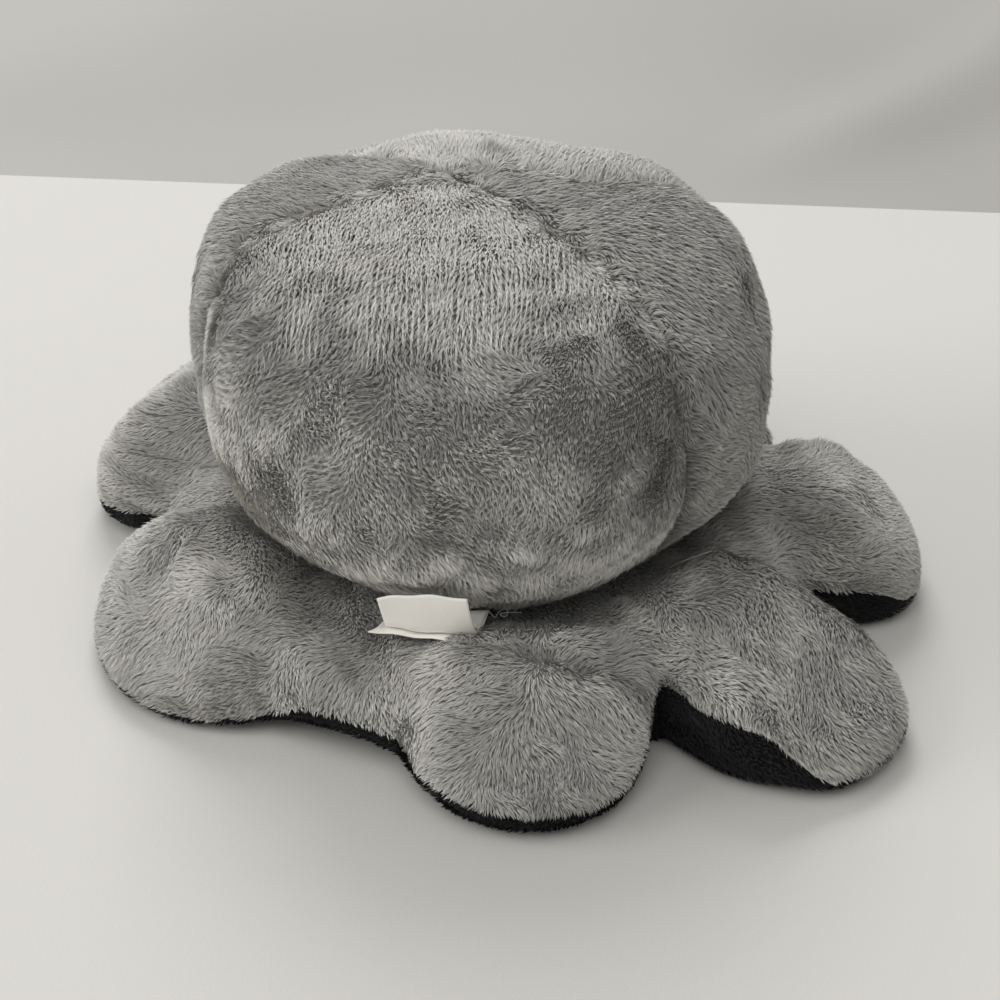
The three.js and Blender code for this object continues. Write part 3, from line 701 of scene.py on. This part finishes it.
FRONT_GORE, EYE_THREADS, EYE_STEPS, EYE_COLUMNS = 3, 30, 6, 29
EYE_EDGE, EYE_DOME, EYE_SINK, THREAD_HEIGHT, THREAD_STAGGER = 0.6, 1.1, 0.1, 0.16, 0.02
EYE_END = 0.999
material, tree, shader = new_material("Black satin stitch", 0.36, 0.0, 0.25)
shade = noise_value(tree, 2500.0, 2.0, (0.15, 1.0, 1.0))
coloured(tree, shader, ramp(tree, shade, [(0.3, (0.008,) * 3), (0.7, (0.022,) * 3)]))
bumped(tree, shader, shade, 0.4, 0.0001)
for eye, where in zip(("eye_right", "eye_left"), EYE_ACROSS):
    v = np.linspace(-EYE_END, EYE_END, EYE_THREADS * EYE_STEPS + 1)
    u = np.linspace(-1, 1, EYE_COLUMNS)
    v, u = np.meshgrid(v, u, indexing="ij")
    width = np.sqrt(1 - v**2)
    ends = THREAD_STAGGER * np.sign(u) * u**8 * np.sin(v * EYE_THREADS * 2.6)
    across = where + EYE_WIDE * width * (u + ends)
    points, _ = head_surface(FRONT_GORE, across, np.radians(EYE_DOWN + EYE_TALL * v))
    normal = unit(points - np.array([0, 0, HEAD_CENTRE]))
    thread = np.abs(np.sin(math.pi * (v + EYE_END) / (2 * EYE_END) * EYE_THREADS)) ** 0.7
    dome = EYE_DOME * np.sqrt(np.clip(1 - np.abs(u) ** 2.4, 0, 1)) * width**0.7
    dome += (EYE_EDGE * width**0.2 + THREAD_HEIGHT * thread) * (1 - u**8) - EYE_SINK
    points = points + normal * dome[..., None]
    piece = skin_object(f"{eye}_stitches", points.reshape(-1, 3), grid_quads(*v.shape), material)
    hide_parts(eye)
    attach(piece, BODY)

# Cushion of skirt and tentacles: its outline seen from above, in steps of equal length along it


def lobe_line(lobe, x):
    """Height of a tentacle's middle line at a distance outside the hinge."""
    reach = lobe["reach"]
    t = np.linspace(0, 1, 60)
    xs = 3 * (1 - t) ** 2 * t * reach * 0.55 + 3 * (1 - t) * t**2 * reach * 0.65 + t**3 * reach
    top = HINGE_HEIGHT + 5 * lobe["arch"]
    zs = (1 - t) ** 3 * HINGE_HEIGHT + 3 * (1 - t) ** 2 * t * top + 3 * (1 - t) * t**2 * (TIP_HEIGHT - 3)
    return np.interp(x, xs, zs + t**3 * TIP_HEIGHT)


DENSE_STEP, RIM_BLUR, OUTLINE_BLUR, COLUMNS = 0.05, 0.8, 0.6, 1000
dense = np.arange(0, 360, DENSE_STEP)


def softened(values, degrees):
    """Values round the full turn, blurred over some degrees."""
    reach = int(3 * degrees / DENSE_STEP)
    kernel = np.exp(-0.5 * (np.arange(-reach, reach + 1) * DENSE_STEP / degrees) ** 2)
    wrapped = np.concatenate([values[-reach:], values, values[:reach]])
    return np.convolve(wrapped, kernel / kernel.sum(), "valid")


def round_value(turn, values):
    """Value at a turn of a list over the dense turns."""
    return np.interp(turn % 360, dense, values, period=360)


web_radius = np.interp(dense, WEBS[:, 0], WEBS[:, 1], period=360)
web_top = np.interp(dense, WEBS[:, 0], WEBS[:, 2], period=360)
rim_seam, rim_belly, rim_tuck = (
    softened(np.interp(dense, RIM[:, 0], RIM[:, column], period=360), RIM_BLUR) for column in (1, 2, 3)
)


def lobe_share(lobe, turn):
    """How far out to a tentacle's side a turn lies, 1 at its edge, with the powers of that side's outline."""
    off = off_turn(turn, lobe["turn"])
    low, high = lobe["low"], lobe["high"]
    half, inner, outer = (np.where(off < 0, low[i], high[i]) for i in range(3))
    return np.abs(off) / half, inner, outer


def past_hinge(lobe, turn, radius):
    """How far outside a tentacle's hinge a place lies."""
    return radius * np.cos(np.radians(off_turn(turn, lobe["turn"]))) - HINGE_RADIUS


dense_radius = web_radius.copy()
for lobe in TENTACLES.values():
    share, inner, outer = lobe_share(lobe, dense)
    bulge = (1 - np.clip(share, 0, 1) ** inner) ** (1 / outer)
    dense_radius = np.maximum(dense_radius, web_radius + (lobe["tip"] - web_radius) * bulge)
dense_radius = softened(dense_radius, OUTLINE_BLUR) - RIM_PILE
stride = np.hypot(np.diff(dense_radius, append=dense_radius[0]), np.radians(DENSE_STEP) * dense_radius)
travelled = np.concatenate([[0], stride.cumsum()])
turns = np.interp(np.arange(COLUMNS) / COLUMNS * travelled[-1], travelled, np.append(dense, 360))
rims = round_value(turns, dense_radius)
seam_heights = round_value(turns, rim_seam)
rim_points = turn_direction(turns) * rims[:, None]


def edge_distance(points):
    """Distance in plan from each point to the outline, and the seam's height there."""
    away, seam = np.empty(len(points)), np.empty(len(points))
    batch = 4000
    for start in range(0, len(points), batch):
        part = slice(start, start + batch)
        apart = points[part, None, :2] - rim_points[None, :, :2]
        d = np.hypot(apart[..., 0], apart[..., 1])
        away[part] = d.min(1)
        weight = 1 / (d + 0.8) ** 4
        seam[part] = (weight * seam_heights).sum(1) / weight.sum(1)
    return away, seam


crease, dimple = waves(31, 24.0), waves(32, 9.0)


def folds(points):
    """Height that the creases and ridges add to the upper side."""
    total = np.zeros(len(points))
    for turn_a, radius_a, turn_b, radius_b, width, height in CREASES:
        a = turn_direction(turn_a)[:2] * radius_a
        way = turn_direction(turn_b)[:2] * radius_b - a
        t = np.clip((points[:, :2] - a) @ way / (way @ way), 0, 1)
        d = np.linalg.norm(points[:, :2] - a - t[:, None] * way, axis=1)
        total += height * bell(d, width)
    return total


# Height of the skirt's top by radius, its level outside the head, level of the belly, and lowest place of all
SKIRT_RADII, SKIRT_TOPS = [38, 44, 50, 56, 62], [22.3, 22.6, 24.0, 25.6, 26.2]
SKIRT_LEVEL, BELLY_LEVEL, LOWEST_SKIN = 26.2, 8.0, 0.4
TOP_THICK, TOP_THINNER, SOLE_THICK, SOLE_THINNER, SOLE_LOW = 8.8, 0.8, 10, 3.5, 0.5
WEB_BRIM, TOP_POWER, SOLE_POWER = 10, 2.2, 2.6
# Gathers of the upper side at the neck seam: number, height, radius and half width
GATHERS, GATHER_HEIGHT, GATHER_RADIUS, GATHER_WIDTH = 22, 0.5, 47, 7


def rounded(share, power):
    """How full a padded edge is at a share of the way in from its seam."""
    return (1 - (1 - share) ** power) ** (1 / power)


def cushion(row_shares, inner, top):
    """Points of the cushion's upper or lower skin, in rows from an inner radius to the rim."""
    r = inner + (rims[None, :] - inner) * row_shares[:, None]
    flat = (turn_direction(turns)[None] * r[..., None]).reshape(-1, 3)
    radius = r.ravel()
    away, seam = edge_distance(flat)
    turn = np.tile(turns, len(row_shares))
    high = np.interp(radius, SKIRT_RADII, SKIRT_TOPS)
    high += (round_value(turn, web_top) - SKIRT_LEVEL) * smooth(radius, 58, 76)
    low = BELLY_LEVEL + (round_value(turn, rim_belly) - BELLY_LEVEL) * smooth(radius, 42, 64)
    weights, width = np.zeros(len(flat)), np.full(len(flat), PLAIN_KNOB[1])
    for name, lobe in TENTACLES.items():
        off = lobe_share(lobe, turn)[0]
        knob, brim = KNOBS.get(name, PLAIN_KNOB)
        x = past_hinge(lobe, turn, radius)
        out = np.clip(x / lobe["reach"], 0, 1)
        across = smooth(off, 1.0, 0.5)
        inside = across * smooth(x, -12, 2)
        line = lobe_line(lobe, np.maximum(x, 0))
        fold = lobe["fold"] * bell(x - 5, 4.0) * across
        far = smooth(x / lobe["reach"], 0.1, 0.6)
        crest = line + TOP_THICK - TOP_THINNER * out - fold + knob * far
        sole = np.maximum(line - (SOLE_THICK - SOLE_THINNER * out), SOLE_LOW)
        sole = np.minimum(sole, SOLE_LOW + 9 * smooth(x, 26, 0))
        own = off < 1
        width = np.where(own, width + (brim - width) * far, width)
        high = np.where(own, high + (crest - high) * inside, high)
        low = np.where(own, low + (sole - low) * inside, low)
        weights = np.maximum(weights, inside * own)
    points = flat.copy()
    if top:
        share = np.clip(away / (WEB_BRIM + (width - WEB_BRIM) * weights), 0, 1)
        points[:, 2] = seam + (high - seam) * rounded(share, TOP_POWER)
        wobble = 0.5 * crease(points) + 0.2 * dimple(points) + folds(points)
        radial = np.sin(np.radians(turn * GATHERS) + 2 * np.sin(np.radians(turn * 5)))
        gather = GATHER_HEIGHT * radial * bell(radius - GATHER_RADIUS, GATHER_WIDTH) * (1 - 0.5 * weights)
        points[:, 2] += (wobble + gather) * smooth(away, 0, 6)
    else:
        share = np.clip(away / (round_value(turn, rim_tuck) + 4 * weights), 0, 1)
        points[:, 2] = seam + (low - seam) * rounded(share, SOLE_POWER)
        points[:, 2] += 0.3 * crease(points) * smooth(away, 0, 8) * smooth(points[:, 2], 1.0, 8.0)
    points[:, 2] = np.maximum(points[:, 2], LOWEST_SKIN)
    return points


def star_shares(count):
    """Shares of the way out for the rows of a skin, closer at the rim."""
    return 1 - (1 - np.linspace(0, 1, count)) ** 1.35


# How far outside the hinges the cushion is split into skirt and tentacles
SPLIT = 6.0


def lobe_of(points, quads):
    """For each face the tentacle that it belongs to, or an empty name on the skirt."""
    turn, radius = polar(points[quads].mean(1))
    owner = np.full(len(quads), "", dtype=object)
    for name, lobe in TENTACLES.items():
        x = past_hinge(lobe, turn, radius)
        owner[(lobe_share(lobe, turn)[0] < 1.05) & (x > SPLIT)] = name
    return owner


# Places where the plush is painted brighter or darker, as painted light and shade: turn, radius, half width,
# change of tone
STAR_LIGHT_AND_SHADE = np.array(
    [
        [193, 71, 13, 0.36], [204, 91, 15, -0.3], [142, 68, 13, 0.38], [130, 82, 14, -0.2],
        [88, 88, 16, 0.14], [88, 104, 10, 0.1], [249, 106, 12, -0.24], [249, 90, 9, 0.08],
        [222, 66, 9, -0.06], [172, 58, 9, -0.12],
    ]
)
light_and_shade_spots = turn_direction(STAR_LIGHT_AND_SHADE[:, 0])[:, :2] * STAR_LIGHT_AND_SHADE[:, 1:2]
lobe_swirl, lobe_patch, lobe_fine = waves(41, 24.0), waves(42, 21.0), waves(43, 8.0)
star_ridges = wave_field(44, 1.2, 16, (0.8, 1.2))


def star_nap(root):
    """Way the pile lies in plan: outwards on the skirt, and fanning from its parting on each tentacle."""
    turn, radius = polar(root)
    nap = turn_direction(turn)
    for lobe in TENTACLES.values():
        near = smooth(lobe_share(lobe, turn)[0], 1.1, 0.7) * smooth(radius, 58, 68)
        source = turn_direction(lobe["turn"] + lobe["part"][0]) * lobe["part"][1]
        fan = unit((root - source) * [1, 1, 0])
        nap = nap + (fan - nap) * near[:, None]
    nap[:, 2] = -0.1
    return nap


def star_field(base_tone, long, short):
    """Pile of the cushion: its tone, and its length on the level parts and at the rim."""

    def field(root, up, extra):
        radius = np.hypot(root[:, 0], root[:, 1])
        patch, tiny = lobe_patch(root), lobe_fine(root)
        swirl = 0.3 * nap_wide(root) + 0.4 * lobe_swirl(root) + 0.25 * tiny
        nap = turned(unit(tangent(star_nap(root), up)), up, swirl)
        rim = smooth(np.abs(up[:, 2]), 0.65, 0.2)
        rough = np.clip(0.35 + 0.45 * patch, 0, 1)
        length = long + (short - long) * rim - 0.3 * rough
        lift = 20 + 9 * rough + 14 * rim
        tone = base_tone + 0.06 * patch + 0.03 * tiny + 0.06 * smooth(radius, 74, 92)
        # Painted light and shade on the skirt and tentacles.
        for spot, (_, _, wide, change) in zip(light_and_shade_spots, STAR_LIGHT_AND_SHADE):
            tone += change * np.exp(-((root[:, :2] - spot) ** 2).sum(1) / wide**2)
        return nap, length, lift, tone, [(0.2 * (0.4 + 0.6 * rough), star_ridges)], True

    return field


def dress_star(points, quads, ground, word, slot_name, seed, **pile):
    """Skins and pile of one side, split into skirt and tentacles, the tentacles from just outside their
    hinges outwards.
    """
    owner = lobe_of(points, quads)
    for name in ["", *TENTACLES]:
        own_points, own_quads = compact(points, quads[owner == name])
        label = f"tentacle_{name}_{word}" if name else f"skirt_{word}"
        skin = skin_object(f"{label}_skin", own_points, own_quads, ground)
        grown = grow(f"{label}_pile", own_points, own_quads, seed=seed + len(name), **pile)
        hidden = [label]
        if word == "top":
            hidden.append(label.replace("_top", "_stuffing"))
        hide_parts(*hidden)
        for piece in (skin, *grown):
            if name:
                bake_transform(piece)
            else:
                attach(piece, BODY)


TOP_ROWS, LOW_ROWS, TOP_INNER, LOW_INNER = 64, 40, 37.0, POCKET_RADIUS + 1.0
top_points = cushion(star_shares(TOP_ROWS), TOP_INNER, True)
dress_star(
    top_points, grid_quads(TOP_ROWS, COLUMNS, closed=True), GREY_GROUND, "top", "grey_plush", 200,
    material=GREY_PILE, field=star_field(0.63, 3.2, 2.0), density=5.6, half_width=0.13,
)
low_points = cushion(star_shares(LOW_ROWS), LOW_INNER, False)
dress_star(
    low_points, grid_quads(LOW_ROWS, COLUMNS, closed=True)[:, ::-1], BLACK_GROUND, "underside",
    "black_plush", 300, material=BLACK_PILE, field=star_field(0.5, 2.4, 1.7), density=2.8, half_width=0.18,
)


def top_height(turn, radius):
    """Height of the upper skin at one place."""
    spot = turn_direction(turn)[:2] * radius
    near = np.hypot(*(top_points[:, :2] - spot).T).argsort()[:4]
    return top_points[near, 2].mean()


# Turning pocket: the black inner head of four gores


def pocket_field(root, up, extra):
    nap = np.tile([0, 0, -1.0], (len(root), 1))
    return nap, 2.4, 24.0, 0.5, [(0.1, star_ridges)], True


POCKET_ROWS, POCKET_COLUMNS, POCKET_RIDGE, POCKET_FLARE = 34, 40, 1.0, 1.03
pocket_rows = np.concatenate([np.linspace(0.01, math.pi / 2, POCKET_ROWS), [math.pi / 2]])
for index, side in enumerate(["left", "back", "right", "front"]):
    gore_turns = LINING_TURN + 90 * (index + np.linspace(0, 1, POCKET_COLUMNS))
    down, turn = np.meshgrid(pocket_rows, gore_turns, indexing="ij")
    seam = np.radians(np.minimum(turn - turn[:, :1], turn[:, -1:] - turn)) * POCKET_RADIUS
    radius = (POCKET_RADIUS + POCKET_RIDGE * bell(seam, 1.6)) * np.sin(down)
    points = turn_direction(turn) * radius[..., None]
    points[..., 2] = POCKET_RIM + POCKET_DOME * np.cos(down)
    points[-1, :, 2] = SKIRT_BOTTOM + 0.2
    points[-1, :, :2] *= POCKET_FLARE
    points = points.reshape(-1, 3)
    points[:, 2] += 0.35 * crease(points)
    quads = grid_quads(len(pocket_rows), POCKET_COLUMNS)[:, ::-1]
    skin = skin_object(f"inner_head_{side}_gore_skin", points, quads, BLACK_GROUND)
    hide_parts(f"inner_head_{side}_gore")
    pile = grow(
        f"inner_head_{side}_gore_pile", points, quads, BLACK_PILE, pocket_field, 1.8, 0.2, 400 + index
    )
    for piece in (skin, *pile):
        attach(piece, BODY)

# Sewn label: one tape folded at the neck seam; the lower leaf lies on the skirt, the upper leans on the head

LABEL_TURN, TAPE_THICK, TAPE_COLUMNS, TAPE_ROWS, THREAD_RADIUS = 185.0, 0.25, 41, 60, 0.1


def label_place(q, w, z):
    """A point of the label from its distance out, sideways and up."""
    out = turn_direction(LABEL_TURN)
    side = np.array([-out[1], out[0], 0.0])
    q, w, z = (np.asarray(value, float)[..., None] for value in (q, w, z))
    return q * out + w * side + z * np.array([0, 0, 1.0])


# Three sections across the tape, each from the lower leaf's end round the fold to the upper leaf's end
LABEL_SECTIONS = np.array(
    [
        [[62.4, -12.2, 28.9], [60.2, -10.3, 29.2], [54.5, -9.4, 28.4], [51.0, -10.4, 28.2],
         [52.0, -10.8, 28.8], [57.0, -9.2, 29.0], [60.6, -8.5, 29.9], [61.6, -9.1, 33.6], [62.6, -9.8, 38.5]],
        [[62.2, -1.1, 29.0], [57.0, -0.4, 28.3], [51.4, -0.2, 27.9], [50.8, 0.0, 28.3], [52.0, 0.1, 28.8],
         [57.0, 1.2, 29.0], [60.9, 1.8, 29.9], [62.0, 0.9, 35.0], [62.7, 0.1, 40.9]],
        [[63.2, 7.6, 30.0], [57.8, 11.4, 29.0], [50.6, 12.0, 28.6], [49.6, 11.9, 28.8], [50.8, 11.8, 29.2],
         [55.6, 11.5, 29.4], [59.2, 11.4, 30.0], [61.4, 10.8, 35.0], [62.8, 10.2, 41.3]],
    ]
)
first, middle, last = (smooth_path(section, TAPE_ROWS) for section in LABEL_SECTIONS)
share = np.linspace(0, 1, TAPE_COLUMNS)[:, None, None]
label_grid = (
    first * (1 - share) * (1 - 2 * share) + middle * 4 * share * (1 - share) + last * share * (2 * share - 1)
)
label_grid[..., 2] += 0.18 * np.sin(label_grid[..., 1] * 0.7 + label_grid[..., 0] * 0.5)
label_points = label_place(*np.moveaxis(label_grid, -1, 0)).reshape(-1, 3)
tape, tree, shader = new_material("White woven tape", 0.6, 0.2, 0.35)
weave = noise_value(tree, 5000.0, 2.0)
coloured(tree, shader, ramp(tree, weave, [(0.3, (0.92, 0.89, 0.825)), (0.7, (0.97, 0.94, 0.875))]))
bumped(tree, shader, weave, 0.25, 0.0001)
label = skin_object("sewn_label_tape", label_points, grid_quads(TAPE_COLUMNS, TAPE_ROWS), tape, TAPE_THICK)
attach(label, BODY)
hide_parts("sewn_label")
dark_thread, _, shader = new_material("Dark sewing thread", 0.6)
shader.inputs["Base Color"].default_value = (0.3, 0.3, 0.29, 1)
thread_corners = label_place(
    [50.6, 52.6, 55.0, 53.2, 51.7, 52.4, 54.0, 53.4, 52.9, 52.4, 51.7],
    [11.6, 12.7, 14.5, 15.0, 15.9, 17.0, 16.5, 15.4, 16.7, 17.8, 19.8],
    [29.6, 31.3, 31.5, 31.7, 31.6, 31.4, 31.3, 31.4, 31.6, 31.5, 31.2],
)
thread = tube_object("loose_thread", thread_corners, THREAD_RADIUS, dark_thread)
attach(thread, BODY)

# Two stray fibres of the stuffing that cling to the pile, on the back gore and on the skirt

BACK_GORE, ABOVE_SKIN, FIBRE_RADIUS = 1, 1.7, 0.09
pale_fibre, _, shader = new_material("Pale stray fibre", 0.5, 0.0, 0.5)
shader.inputs["Base Color"].default_value = (0.72, 0.68, 0.58, 1)
across = np.array([[0.365, 0.385, 0.41, 0.44]])
down = np.array([[0.56, 0.53, 0.505, 0.49]])
head_fibre = head_surface(BACK_GORE, across, down)[0][0] * 1.018
fibre_turns, fibre_radii = [248.1, 250.0, 252.4, 254.4], [54.7, 57.6, 59.6, 61.5]
skirt_fibre = np.array(
    [turn_direction(t) * r + [0, 0, top_height(t, r) + ABOVE_SKIN] for t, r in zip(fibre_turns, fibre_radii)]
)
for name, corners in (("stray_fibre_head", head_fibre), ("stray_fibre_skirt", skirt_fibre)):
    fibre = tube_object(name, corners, FIBRE_RADIUS, pale_fibre)
    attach(fibre, BODY)

# Floor, backdrop, light and camera

VIEW_TURN, VIEW_HEIGHT, VIEW_DISTANCE, LENS = 197.0, 34.0, 489.0, 79.1
target = to_frame(np.array([-13.7, 31.4, 47.0]))


def facing(turn, height):
    """Unit vector towards a turn and a height in degrees."""
    a, e = math.radians(turn), math.radians(height)
    return Vector((math.sin(a) * math.cos(e), -math.cos(a) * math.cos(e), math.sin(e)))


def cloth_material(name, colours, scale):
    """Pale woven cloth; its tone drifts from one side to the other, which on the backdrop is painted shade.
    """
    material, tree, shader = new_material(name, 0.9, 0.05, 0.2)
    place = tree.nodes.new("ShaderNodeTexCoord")
    shifted = tree.nodes.new("ShaderNodeMapping")
    shifted.inputs["Location"].default_value = (0.5, 0, 0)
    tree.links.new(place.outputs["Object"], shifted.inputs["Vector"])
    parts = tree.nodes.new("ShaderNodeSeparateXYZ")
    tree.links.new(shifted.outputs["Vector"], parts.inputs["Vector"])
    across = ramp(tree, parts.outputs["X"], colours)
    drift = ramp(tree, noise_value(tree, scale, 2.0), [(0.3, (0.95,) * 3), (0.7, (1.0,) * 3)])
    coloured(tree, shader, multiplied(tree, across, drift))
    bumped(tree, shader, noise_value(tree, 1400.0, 2.0), 0.2, 0.0003)
    return material


# Turn and distance of the line where the floor's cloth ends, and how the backdrop's rises beyond it
BACKDROP_TURN, BACKDROP_OUT, BACKDROP_RISE, BACKDROP_RUN = 12.1, 215.0, 26, 240
FOLD_HEIGHT, SLANT_HEIGHT = 3.0, 6.0
backdrop_folds = waves(51, 170.0)


def cloth_sheet(name, along, out, height, material):
    """A stage cloth on a grid along the backdrop's line and out from the toy."""
    along, out = np.meshgrid(along, out, indexing="ij")
    way = turn_direction(BACKDROP_TURN)
    side = np.array([way[1], -way[0], 0.0])
    points = (along[..., None] * side + out[..., None] * way).reshape(-1, 3)
    points[:, 2] = height(points, along.ravel(), out.ravel())
    sheet = skin_object(name, points, grid_quads(*along.shape), material)


FLOOR_COLOUR = (0.68, 0.662, 0.62)
cloth_sheet(
    "Floor", np.linspace(-1500, 1500, 7), np.array([-2200, -1000, 0, BACKDROP_OUT]),
    lambda p, u, v: 0 * u,
    cloth_material("White cloth floor", [(0.0, FLOOR_COLOUR), (1.0, FLOOR_COLOUR)], 3.0),
)


def backdrop_height(points, u, v):
    past = v - BACKDROP_OUT
    slanted = bell(u - 0.9 * past - 60, 26) + 0.6 * bell(u + 0.5 * past + 90, 40)
    relief = FOLD_HEIGHT * backdrop_folds(points * [1, 1, 0]) + SLANT_HEIGHT * slanted
    return BACKDROP_RISE * smooth(past, 0, BACKDROP_RUN) + relief * smooth(past, 0, 60)


# The backdrop cloth is painted darker than the floor, and darker towards its right: painted shade.
cloth_sheet(
    "Backdrop", np.linspace(-900, 900, 241),
    BACKDROP_OUT + np.concatenate([np.linspace(0, 400, 81), np.linspace(450, 1400, 12)]),
    backdrop_height,
    cloth_material("Pale backdrop", [(0.2, (0.4, 0.386, 0.36)), (0.72, (0.475, 0.461, 0.434))], 4.0),
)

world = bpy.data.worlds.new("Studio")
bpy.context.scene.world = world
world.use_nodes = True
sky = world.node_tree.nodes["Background"].inputs
sky["Color"].default_value = (0.98, 0.99, 1.0, 1)
sky["Strength"].default_value = 0.34


def area_light(name, turn, height, distance, size, power):
    """A square lamp that faces the toy: distance and size in metres, power in watts."""
    way = facing(turn, height)
    data = bpy.data.lights.new(name, "AREA")
    data.size = size
    data.energy = power
    lamp = bpy.data.objects.new(name, data)
    lamp.location = Vector(target) + way * distance
    lamp.rotation_euler = way.to_track_quat("Z", "Y").to_euler()
    bpy.context.scene.collection.objects.link(lamp)


area_light("Key", 25, 46, 2.2, 1.1, 25)
area_light("Left", 118, 24, 2.0, 1.2, 17)
area_light("Overhead", 190, 66, 2.0, 1.5, 12)

back = facing(VIEW_TURN, VIEW_HEIGHT)
camera_data = bpy.data.cameras.new("Camera")
camera_data.sensor_width = 36
camera_data.lens = LENS
camera = bpy.data.objects.new("Camera", camera_data)
camera.location = Vector(target) + back * VIEW_DISTANCE * MM
camera.rotation_euler = back.to_track_quat("Z", "Y").to_euler()
bpy.context.scene.collection.objects.link(camera)
bpy.context.scene.camera = camera
bpy.context.scene.view_settings.view_transform = "Standard"
